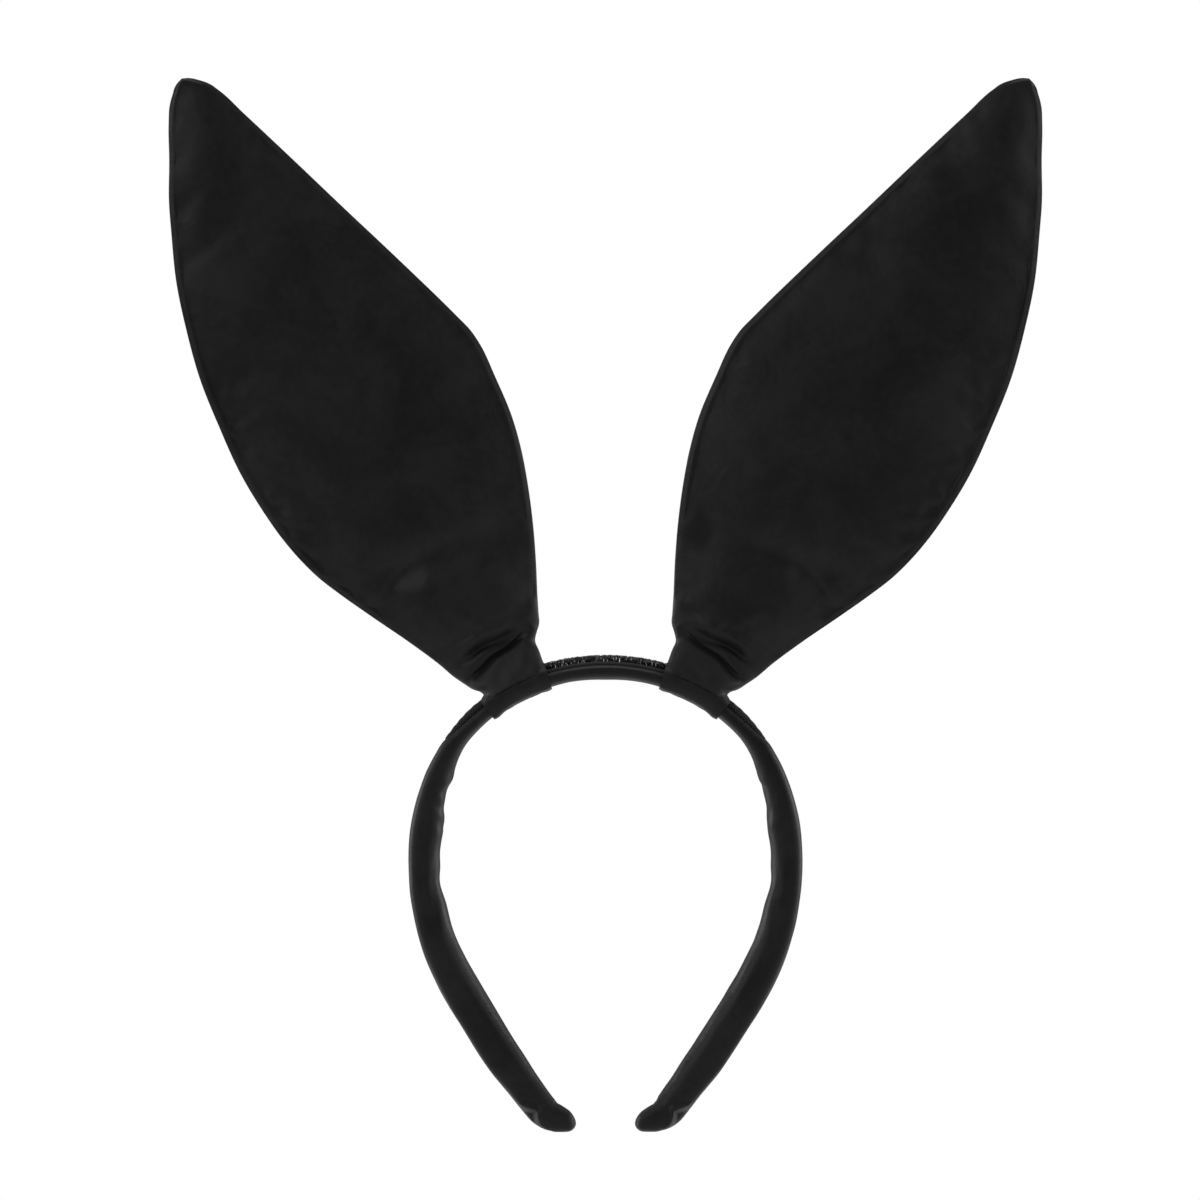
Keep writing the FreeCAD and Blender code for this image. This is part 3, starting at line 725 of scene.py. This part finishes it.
# each hook is a straight shank, its first two points, and then a half turn of small radius
hook_turn = np.array([0.0, 0.0, 0.35, 0.75, 1.15]) * np.pi * 0.8
hook_bend = 0.34
hook_side = np.array([0.0, 0.02, 0.0, 0.0, 0.0]) + hook_bend * (1 - np.cos(hook_turn))
hook_up = np.array([0.0, 0.62, 0.62, 0.62, 0.62]) + 0.24 * np.sin(hook_turn)
hook_paths = on_band(
    np.clip(hook_run + hook_way * hook_side + hook_lean * hook_up, tape_run[0], tape_run[-1]),
    hook_across + hook_lean * hook_up,
    -tape_thickness + 0.1 - (hook_tall - 0.1) * hook_up / hook_up.max(),
)
hooks = bent_rods(
    "hook_tape_hooks", hook_paths, hook_radius * mm, 4, hook_nylon.material
)
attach(hooks, "crown")

thread = Recipe("black_sewing_thread", Roughness=0.55, Specular_IOR_Level=0.4)
thread_twist = thread.noise(thread.place(), 2400.0, 2.0)
thread.colour(thread_twist, (0.008, 0.008, 0.009), (0.02, 0.02, 0.021))
thread.feed("Normal", thread.bump(thread_twist, 0.00006, 0.6))

stitch_length, stitch_gap = 2.5, 0.7
stitch_radius = 0.15
seam_across = tape_half_width - 0.62
first_stitch, last_stitch = tape_run[0] + 1.2, tape_run[-1] - 1.2 - stitch_length
stitch_starts = np.arange(first_stitch, last_stitch, stitch_length + stitch_gap)
stitch_share = np.linspace(0, 1, 7)
stitch_runs = stitch_starts[:, None] + stitch_share * stitch_length
# each stitch rises a little between the two holes that draw it down into the tape
stitch_lift = 0.14 * np.sin(np.pi * stitch_share) ** 0.5 - 0.25
for side, across in (("front", -seam_across), ("back", seam_across)):
    stitches = on_band(
        stitch_runs, np.full(stitch_runs.shape, across), -tape_top(stitch_runs) - stitch_lift - 0.06
    )
    row = bent_rods(
        f"hook_tape_stitches_{side}", stitches, stitch_radius * mm, 6, thread.material
    )
    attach(row, "crown")
    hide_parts(f"tape_stitching_{side}")

# ---- the shape of an ear ----
# Two satin panels sewn face to face and turned, stuffed with a little wadding. A wire hoop lies in
# the seam and holds the outline. Measured upright: x towards the outer side, z from the band's
# centre. The ear is drawn once, for the wearer's left, and carried round the crown to its place.

ear_angle = math.radians(27.5)
ear_tip = 294.5
outer_edge = (
    (66.0, 10.8), (69.0, 10.0), (70.2, 10.6), (71.6, 12.1), (73.7, 13.5), (76.5, 15.2), (84.0, 18.4),
    (95.4, 24.0), (107.7, 30.6), (119.9, 36.9), (127.0, 40.2), (134.0, 42.6), (143.0, 44.8),
    (156.0, 46.6), (170.0, 47.4), (187.0, 46.5), (204.0, 44.8), (220.4, 41.3), (236.0, 36.9),
    (250.8, 31.0), (261.0, 26.6), (272.1, 20.7), (284.0, 14.7), (288.6, 11.9), (291.6, 9.1),
    (293.7, 6.6), (ear_tip, 4.4),
)
inner_edge = (
    (66.0, 12.4), (69.0, 12.5), (73.0, 13.1), (76.4, 13.6), (78.0, 14.9), (80.4, 17.2), (83.5, 18.6),
    (90.0, 21.5), (97.0, 24.8), (111.5, 31.0), (122.8, 35.1), (134.4, 38.6), (145.0, 40.8),
    (159.5, 42.0), (171.0, 42.5), (177.0, 41.8), (183.0, 40.0), (209.8, 31.1), (231.6, 23.5),
    (253.2, 16.1), (275.2, 8.4), (285.5, 4.7), (289.4, 2.5), (292.0, -0.2), (293.8, -2.6),
    (ear_tip, -4.3),
)
panel_columns = 37
foot_line = 66.3


def ear_rows(neck_gap, blade_gap):
    """The heights of an ear's rows: close at the neck, even up the blade, close at the tip."""
    neck = sections(foot_line, 90.0, neck_gap)
    blade = sections(90.0, 284.0, blade_gap)
    tip = 284.0 + (ear_tip - 0.03 - 284.0) * np.sin(np.linspace(0, np.pi / 2, 9))
    return np.concatenate([neck, blade[1:], tip[1:]])


def ear_edges(z):
    """The outer and the inner edge of the ear at heights z, as x."""
    return through(*zip(*outer_edge), z), -through(*zip(*inner_edge), z)


ear_half_depth = (
    (66, 8.45), (68, 7.8), (71, 6.5), (74.5, 5.0), (78, 4.2), (83, 4.3), (92, 4.2), (110, 3.9),
    (170, 3.5), (250, 2.6), (284, 1.8), (ear_tip, 0.3),
)


def flat_ear(z, columns):
    """The ear before it is stuffed, in millimetres: a thin lens at every height, the front panel
    from the inner seam to the outer one, and then the back panel the other way. Towards the foot
    the lens turns into an oblong as deep as the strap, and its rows follow the strap's round top."""
    crowding = np.pi / 2 * 0.86  # the columns stand closer together towards the seams
    share = np.sin(np.linspace(-1, 1, columns) * crowding) / np.sin(crowding)
    outer, inner = ear_edges(z)
    half_depth = through(*zip(*ear_half_depth), z)
    s = np.concatenate([share, share[-2:0:-1]])
    way = np.concatenate([-np.ones(columns), np.ones(columns - 2)])
    x = (outer + inner)[:, None] / 2 + (outer - inner)[:, None] / 2 * s
    square = (1 - step(68, 80, z))[:, None]
    lens = (1 - np.abs(s) ** (2.4 + 7 * square)) ** (0.62 - 0.2 * square)
    y = way * lens * half_depth[:, None]
    seat = np.sqrt(foot_line**2 - np.minimum(np.abs(x), 30) ** 2) - foot_line
    down = seat * (1 - step(66, 77, z))[:, None]
    return np.stack([x, y, z[:, None] + down], axis=-1)


sim_rows = ear_rows(1.3, 2.5)
flat = flat_ear(sim_rows, panel_columns)


ear_cloth_settings = {
    "quality": 6,
    "mass": 0.2,
    "tension_stiffness": 18,
    "compression_stiffness": 12,
    "shear_stiffness": 8,
    "bending_stiffness": 3.0,
    "shrink_min": -0.004,
    "use_pressure": True,
    "uniform_pressure_force": 2.0,
    "vertex_group_mass": "held",
}


def stuffed(flat, frames=18):
    """Blows the flat ear up with a little air, as wadding would, by cloth simulation. The seam,
    which the wire holds, and the bound neck stay where they are. The cloth is cut a little large,
    so it wrinkles. No point moves more than the cap."""
    rows, around = flat.shape[:2]
    index = np.arange(rows * around).reshape(rows, around)
    nxt = np.roll(index, -1, axis=1)
    quads = np.stack([index[:-1], nxt[:-1], nxt[1:], index[1:]], axis=-1).reshape(-1, 4)
    mesh = bpy.data.meshes.new("ear_cloth")
    size = 10.0  # the cloth is worked at ten times its size, where the solver is steadier
    slack = np.zeros_like(flat)
    slack[..., 1] = 0.10 * ripple(flat, 30, 21)
    mesh.from_pydata(((flat + slack) * mm * size).reshape(-1, 3).tolist(), [], quads.tolist())
    cloth_object = bpy.data.objects.new("ear_cloth", mesh)
    scene.collection.objects.link(cloth_object)
    held = cloth_object.vertex_groups.new(name="held")
    seam = np.concatenate([index[:, 0], index[:, panel_columns - 1], index[-3:].ravel()])
    bound = index[sim_rows < 84].ravel()
    held.add(np.unique(np.concatenate([seam, bound])).tolist(), 1.0, "REPLACE")
    cloth = cloth_object.modifiers.new("cloth", "CLOTH")
    for setting, given in ear_cloth_settings.items():
        setattr(cloth.settings, setting, given)
    cloth.settings.effector_weights.gravity = 0
    cloth.collision_settings.use_collision = False
    for frame_number in range(1, frames + 1):
        scene.frame_set(frame_number)
    settled = cloth_object.evaluated_get(bpy.context.evaluated_depsgraph_get()).to_mesh()
    blown = np.zeros(rows * around * 3, np.float32)
    settled.vertices.foreach_get("co", blown)
    scene.frame_set(1)
    bpy.data.objects.remove(cloth_object)
    bpy.data.meshes.remove(mesh)
    move = blown.reshape(rows, around, 3).astype(float) / (mm * size) - flat
    # one pass of smoothing up the ear takes off what is finer than the cloth's own mesh can show
    move[1:-1] = 0.25 * move[:-2] + 0.5 * move[1:-1] + 0.25 * move[2:]
    length = np.linalg.norm(move, axis=2, keepdims=True)
    cap = 4.0
    return flat + move * cap * np.tanh(length / cap) / np.maximum(length, 1e-9)


blown = stuffed(flat)


def finer(grid, times, axis):
    """A grid with more points along one axis, on a smooth curve through the ones it has: between
    two points it is a cubic whose end slopes are those of the chords across each point."""
    count = grid.shape[axis]
    moved = np.moveaxis(grid, axis, 0)
    old = np.arange(count, dtype=float)
    new = np.linspace(0, count - 1, (count - 1) * times + 1)
    k = np.clip(new.astype(int), 0, count - 2)
    f = (new - old[k]).reshape((-1,) + (1,) * (moved.ndim - 1))
    return np.moveaxis(cubic(moved, np.gradient(moved, axis=0), k, f), 0, axis)


def finer_ear(grid, times):
    """The ear's grid made finer. The two panels are done apart, so the seam stays a crease."""
    grid = finer(grid, times, 0)
    front = finer(grid[:, :panel_columns], times, 1)
    back = finer(np.concatenate([grid[:, panel_columns - 1 :], grid[:, :1]], axis=1), times, 1)
    return np.concatenate([front, back[:, 1:-1]], axis=1)


ear_finer = 3
wire_radius, wire_inset = 0.55, 2.2


def dressed(grid):
    """Adds to the stuffed ear what is finer than the simulation's cloth: a slight ridge where the
    wire lies, puckers at the seam, gathers above the neck and the folds where it was bound."""
    grid = grid.copy()
    x, y, z = grid[..., 0], grid[..., 1], grid[..., 2]
    columns = (panel_columns - 1) * ear_finer + 1
    way = np.concatenate([-np.ones(columns), np.ones(grid.shape[1] - columns)])[None, :]
    way[0, [0, columns - 1]] = 0
    outer, inner = ear_edges(z)
    from_outer, from_inner = outer - x, x - inner
    from_seam = np.minimum(from_outer, from_inner)
    face = np.stack([x, z], axis=-1)
    on_blade = step(82, 98, z) * (1 - step(286, 292, z))
    swell = on_blade * (0.08 * bell(from_seam, 1.8, 1.3) - 0.03 * bell(from_seam, 5.0, 2.2))
    # puckers run in from the seam, most where the outer edge curves hardest
    near = np.exp(-from_seam / 7.0) * step(0.0, 1.6, from_seam)
    outer_puckers = 0.3 + 1.0 * bell(z, 160, 42) + 0.4 * bell(z, 112, 16)
    strength = np.where(from_outer < from_inner, outer_puckers, 0.25)
    pucker = np.sin(2 * np.pi * (z + 0.5 * from_seam + 3.5 * ripple(face, 26, 31)) / 11.5)
    swell += 0.33 * on_blade * near * strength * (pucker + 0.6 * ripple(face, 7, 32))
    # the wadding is uneven, so the panels rise and dip a little, differently front and back
    lumps = np.stack([x, z * 0.8, way * 40 + 0 * z], axis=-1)
    middle = step(2, 14, from_seam)
    swell += middle * on_blade * (0.30 * ripple(lumps, 36, 33) + 0.07 * ripple(lumps, 14, 34))
    # a soft valley lies across the front where the cloth starts to be drawn in to the neck
    valley = bell(z, 115.5 + 0.12 * x, 6.5) * step(-28, -18, x) * (1 - step(16, 30, x))
    # and on one side of it the cloth sinks in a long slope and comes back in a short one
    above = z + 0.45 * x - 124.2
    crease = step(-15, -1.5, above) * (1 - step(-1.5, 1.5, above))
    crease *= step(6, 14, x) * (1 - step(22, 31, x))
    swell -= (2.0 * valley + 0.9 * crease) * (way < 0)
    # gathers fan out from the neck
    fan = x / np.maximum((outer - inner) / 2, 1)
    gather = np.cos(2 * np.pi * (fan * 1.9 + 0.15 * way + 0.3 * ripple(face, 20, 35)))
    swell += 0.13 * gather * step(80, 86, z) * (1 - step(88, 108, z)) * step(0, 4, from_seam)
    # below the pinch the cloth is drawn smooth over the foot, with a few slanting drags
    drag = np.sin(2 * np.pi * (x * 0.6 + z * 0.8 + ripple(face, 12, 36)) / 7.5)
    swell += 0.10 * drag * (1 - step(74, 78, z)) * step(67, 69, z) * step(0, 3, from_seam)
    # two tucks lie across the front of the neck with a thin ridge between them, and one across
    # the back. Each is a narrow valley in a broad hollow, given by its height at x = 0, its tilt,
    # its ends in x, its depth and width, and -1 for the front or 1 for the back
    tucks = (
        (78.0, -0.21, -12.0, 12.4, 1.7, 1.2, -1),
        (82.0, -0.05, -10.5, 11.0, 1.8, 1.15, -1),
        (78.8, 0.12, -11.0, 10.5, 1.6, 1.1, 1),
    )
    for first, tilt, low, high, depth, width, side in tucks:
        above = z - (first + tilt * x - 0.004 * x**2 + 0.35 * ripple(face, 13, 37))
        reach = step(low - 3.0, low + 5.0, x) * (1 - step(high - 6.0, high + 3.0, x))
        valley = depth * bell(above, 0.0, width) + 0.7 * bell(above, 0.0, 2.8)
        swell += np.where(way == side, reach * (0.45 * bell(above, 3.4, 1.6) - valley), 0)
    # the seam's corner curls over at the inner side of the neck
    curl = bell(z - 0.6 * (from_inner - 1.6), 79.6, 1.3) * bell(from_inner, 1.8, 1.5)
    swell += 0.4 * curl * (way < 0)
    # the wire keeps the two panels apart near the seam
    apart = 1.0 * bell(from_seam, wire_inset, 1.5) * step(0.0, 0.8, from_seam)
    grid[..., 1] = way * np.maximum(way * y + swell, apart) + y * (way == 0)
    # the ear's cloth overhangs the lower tuck a little
    above = z - (tucks[0][0] + tucks[0][1] * x)
    sag = bell(above, 1.5, 1.2) * (way < 0) * step(-13, -8, x) * (1 - step(8, 13, x))
    grid[..., 2] = z - 0.9 * sag
    return grid


turned_under = ((0.45, 4.65), (0.68, 3.6), (0.86, 1.7))


def with_underside(grid):
    """Turns the cloth under at the foot's line: three more rows run in over the strap's top. Each
    is the first row drawn in across and in depth, and lifted."""
    rows = [grid[:1] * (0.93, reach, 1) + (0, 0, rise) for reach, rise in turned_under]
    return np.concatenate(rows + [grid])


finished = dressed(finer_ear(blown, ear_finer))
ear = with_underside(finished) * mm
ear_normals = outward(ear)


def stand_up(grid):
    """Carries upright ear coordinates round the crown to the ear's place on the band."""
    sine, cosine = math.sin(ear_angle), math.cos(ear_angle)
    x, y, z = grid[..., 0], grid[..., 1], grid[..., 2]
    return np.stack([x * cosine + z * sine, y, z * cosine - x * sine], axis=-1)


# ---- the ears' satin ----
# The skin is one bag of satin. It is cut in two here, at a height where nothing bends.

lean_low, lean_high = 72.5, 83.0
fold_low, fold_high = 170.0, 201.0
skin_split_height = 160.0


def bend_with_ear(piece, side, half):
    """Works out where a lower piece would bend at the neck, or an upper one at the fold, and the bodies
    on either side, and bakes the piece's place into its mesh.
    """
    low, high = (lean_low, lean_high) if half == "lower" else (fold_low, fold_high)
    ends = [sides[side](stand_up(np.array([0.0, 0.0, height * mm]))) for height in (low, high)]
    bodies = ("foot", "ear_lower") if half == "lower" else ("ear_lower", "ear_upper")
    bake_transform(piece)


split_row = int(np.argmin(np.abs(ear[:, 0, 2] - skin_split_height * mm)))
halves = {"lower": slice(0, split_row + 1), "upper": slice(split_row, None)}
for side, place in sides.items():
    for half, rows in halves.items():
        skin = tube(
            f"ear_satin_{half}_{side}",
            place(stand_up(ear[rows])),
            satin_cloth,
            place(stand_up(ear_normals[rows])),
        )
        bend_with_ear(skin, side, half)
        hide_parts(f"ear_front_{half}_{side}", f"ear_back_{half}_{side}")
        if half == "lower":
            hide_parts(f"ear_stem_{side}")

# ---- inside the ears ----
# White wadding fills each ear loosely. A soft steel wire runs up one edge, round the tip and down
# the other, and both its ends are bound in the neck with thread.

wadding = Recipe("white_wadding", Roughness=0.95)
fibres = wadding.noise(wadding.place(), 320.0, 6.0, 0.7, 2.5)
wadding.colour(fibres, (0.62, 0.62, 0.6), (0.85, 0.85, 0.83))
wadding.feed("Normal", wadding.bump(fibres, 0.0012, 0.9))

steel = Recipe("soft_steel_wire", Metallic=1.0, Roughness=0.35)
drawn = steel.noise(steel.place(), 1100.0, 2.0)
steel.colour(drawn, (0.42, 0.42, 0.44), (0.6, 0.6, 0.62))

wadding_share, wadding_side_room = 0.5, 4.4
pad = finished[::ear_finer, ::ear_finer].copy()
pad_outer, pad_inner = ear_edges(pad[..., 2])
pad_middle, pad_half = (pad_outer + pad_inner) / 2, np.maximum((pad_outer - pad_inner) / 2, 0.5)
pad_narrowing = np.maximum(1 - wadding_side_room / pad_half, 0.05)
pad[..., 0] = pad_middle + (pad[..., 0] - pad_middle) * pad_narrowing
pad[..., 1] *= wadding_share * (1 + 0.05 * ripple(pad, 8, 41))
pad_rows = {
    "lower": (sim_rows > 84) & (sim_rows < skin_split_height - 0.5),
    "upper": (sim_rows > skin_split_height + 0.5) & (sim_rows < 282),
}

wire_over_tip = 284.0 + 7.6 * np.sin(np.linspace(0, 1.5, 7)[1:])
wire_heights = np.concatenate([sections(70.8, 284.0, 2.0), wire_over_tip])
wire_outer, wire_inner = ear_edges(wire_heights)
room_at = np.minimum(wire_inset, (wire_outer - wire_inner) / 2 - 0.7)
wire_sides = [
    np.stack([edge + sign * room_at, 0 * wire_heights, wire_heights], axis=-1)
    for edge, sign in ((wire_outer, -1), (wire_inner, 1))
]
below = wire_heights <= skin_split_height
over_tip = np.concatenate([wire_sides[0][~below], wire_sides[1][~below][::-1]])
wires = {
    "lower": np.stack([line[below] for line in wire_sides]),
    "upper": over_tip[None],
}
for side, place in sides.items():
    for half in halves:
        filling = tube(
            f"ear_wadding_{half}_{side}_fill",
            place(stand_up(pad[pad_rows[half]] * mm)),
            wadding.material,
        )
        bend_with_ear(filling, side, half)
        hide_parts(f"ear_wadding_{half}_{side}")
        wire_path = place(stand_up(wires[half] * mm))
        hoop = bent_rods(
            f"ear_wire_{half}_{side}_rod", wire_path, wire_radius * mm, 10, steel.material
        )
        bend_with_ear(hoop, side, half)
        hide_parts(f"ear_wire_{half}_{side}")
        if half == "lower":
            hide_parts(f"ear_wire_tails_{side}")

# the thread goes three times round the stem, as a flattened helix
binding_turns, binding_radius = 3, 0.22
binding_turn = np.linspace(0, 2 * np.pi * binding_turns, 145)
binding_x, binding_y = 9.2 * np.cos(binding_turn) + 0.8, 2.5 * np.sin(binding_turn)
binding_line = np.stack([binding_x, binding_y, 71.6 + 0.09 * binding_turn], axis=-1)
for side, place in sides.items():
    binding_path = place(stand_up(binding_line * mm))[None]
    binding = bent_rods(
        f"ear_binding_{side}", binding_path, binding_radius * mm, 8, thread.material
    )
    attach(binding, f"{side}_foot")
    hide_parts(f"ear_binding_thread_{side}")

# ---- the feet ----
# Each ear stands on a strap of the same satin, hemmed at both ends, that goes all round the band
# and closes on its head side. Soft loop tape is sewn inside it and grips the hooks below.

strap_section = (
    (0.0, 70.4), (3.6, 70.3), (5.6, 69.5), (7.2, 68.1), (8.2, 66.5), (8.42, 65.2), (8.35, 63.5),
    (7.85, 62.0), (6.6, 60.85), (4.4, 60.35), (2.2, 60.2), (0.0, 60.2),
)
strap_wall = 0.45
strap_radius = 70
strap_low_angle, strap_high_angle = math.radians(-10.3), math.radians(9.8)


def closed_curve(points, count):
    """A smooth closed curve through points, as count evenly spaced ones. It is drawn on for two
    points at each end, and those stretches are cut off again."""
    times = 24
    loop = finer(np.concatenate([points[-2:], points, points[:2]]), times, 0)
    loop = loop[2 * times : -2 * times]
    length = np.concatenate([[0], np.cumsum(np.linalg.norm(np.diff(loop, axis=0), axis=1))])
    even = np.linspace(0, length[-1], count, endpoint=False)
    return np.stack([np.interp(even, length, loop[:, k]) for k in range(2)], axis=-1)


half_ring = np.array(strap_section)
whole_ring = np.concatenate([half_ring, half_ring[-2:0:-1] * np.array([-1.0, 1.0])])
ring = closed_curve(np.concatenate([whole_ring, whole_ring[:1]]), 128)
ring_ahead = np.roll(ring, -1, axis=0) - np.roll(ring, 1, axis=0)
ring_out = np.stack([-ring_ahead[:, 1], ring_ahead[:, 0]], axis=-1)
ring_out /= np.linalg.norm(ring_out, axis=1, keepdims=True)
if (ring_out * (ring - ring.mean(axis=0))).sum() < 0:
    ring_out = -ring_out


def strap_grid():
    """The strap as one closed skin: along its outside, over the hem, and back along its inside.
    Its rows run from end to end of the strap's width, so the first row joins the last."""
    turn = sections(strap_low_angle, strap_high_angle, math.radians(0.55))
    hem = np.linspace(0, np.pi, 7)[1:-1]
    bulge, inward = 0.004 * np.sin(hem), (1 - np.cos(hem)) / 2
    reach = [turn, strap_high_angle + bulge, turn[::-1], strap_low_angle - bulge]
    layer = [np.zeros(len(turn)), inward, np.ones(len(turn)), 1 - inward]
    reach, layer = np.concatenate(reach), np.concatenate(layer)
    from_end = np.minimum(reach - strap_low_angle, strap_high_angle - reach) * strap_radius
    a, k = np.meshgrid(reach, np.arange(len(ring)), indexing="ij")
    across, radius = ring[k][..., 0], ring[k][..., 1]
    # the strap is drawn down at its outer end, and both ends stand off a little on the head side
    arc = a * strap_radius
    radius = radius - step(66, 70.4, radius) * (2.0 * step(5.5, 12.0, arc) + 0.6 * step(-8, -12, arc))
    radius = radius - (1 - step(60, 64, radius)) * (0.55 * step(7, 12, arc) + 0.2 * step(-8, -12, arc))
    way_out = ring_out[k]
    outside = (1 - layer)[:, None]
    where = np.stack([arc, across * 1.3, radius], axis=-1)
    rise = -0.03 * bell(from_end, 2.6, 0.5)[:, None]
    rise = rise - 0.4 * np.exp(-np.maximum(from_end, 0) / 1.5)[:, None]
    rise = rise + 0.10 * ripple(where, 9, 51) + 0.03 * ripple(where, 4, 52)
    rise = rise * outside - strap_wall * (1 - outside)
    across = across + way_out[..., 0] * rise
    radius = radius + way_out[..., 1] * rise
    return np.stack([radius * np.sin(a), across, radius * np.cos(a)], axis=-1) * mm


loop_tape = Recipe("black_loop_tape", Roughness=0.9, Sheen_Weight=0.3, Sheen_Roughness=0.5)
loop_fluff = loop_tape.noise(loop_tape.place(), 1200.0, 5.0, 0.7, 2.0)
loop_tape.colour(loop_fluff, (0.01, 0.01, 0.011), (0.03, 0.03, 0.032))
loop_tape.feed("Normal", loop_tape.bump(loop_fluff, 0.0005, 0.9))

strap = strap_grid()
loop_turn = sections(strap_low_angle + 0.012, strap_high_angle - 0.012, math.radians(0.4))
loop_t = np.linspace(0, 2 * np.pi, 28, endpoint=False)
loop_a, loop_k = np.meshgrid(loop_turn, loop_t, indexing="ij")
loop_arc = loop_a * strap_radius
loop_fuzz = 0.12 * ripple(np.stack([loop_arc, np.cos(loop_k) * 5, np.sin(loop_k)], -1), 1.6, 53)
loop_across = 4.7 * squarish(np.cos(loop_k), 0.3)
loop_drawn = 1.35 * step(5.5, 11.5, loop_arc) + 0.4 * step(-8, -12, loop_arc)
loop_radius = 69.2 - loop_drawn + (0.42 + loop_fuzz) * squarish(np.sin(loop_k), 0.3)
loop_grid = np.stack(
    [loop_radius * np.sin(loop_a), loop_across, loop_radius * np.cos(loop_a)], axis=-1
) * mm
for side, place in sides.items():
    foot = tube(
        f"ear_strap_{side}_satin", place(stand_up(strap)), satin_cloth, closed_along=True
    )
    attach(foot, f"{side}_foot")
    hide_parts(f"ear_strap_{side}")
    grip = tube(
        f"ear_loop_tape_{side}_pile", place(stand_up(loop_grid)), loop_tape.material
    )
    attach(grip, f"{side}_foot")
    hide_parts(f"ear_loop_tape_{side}")
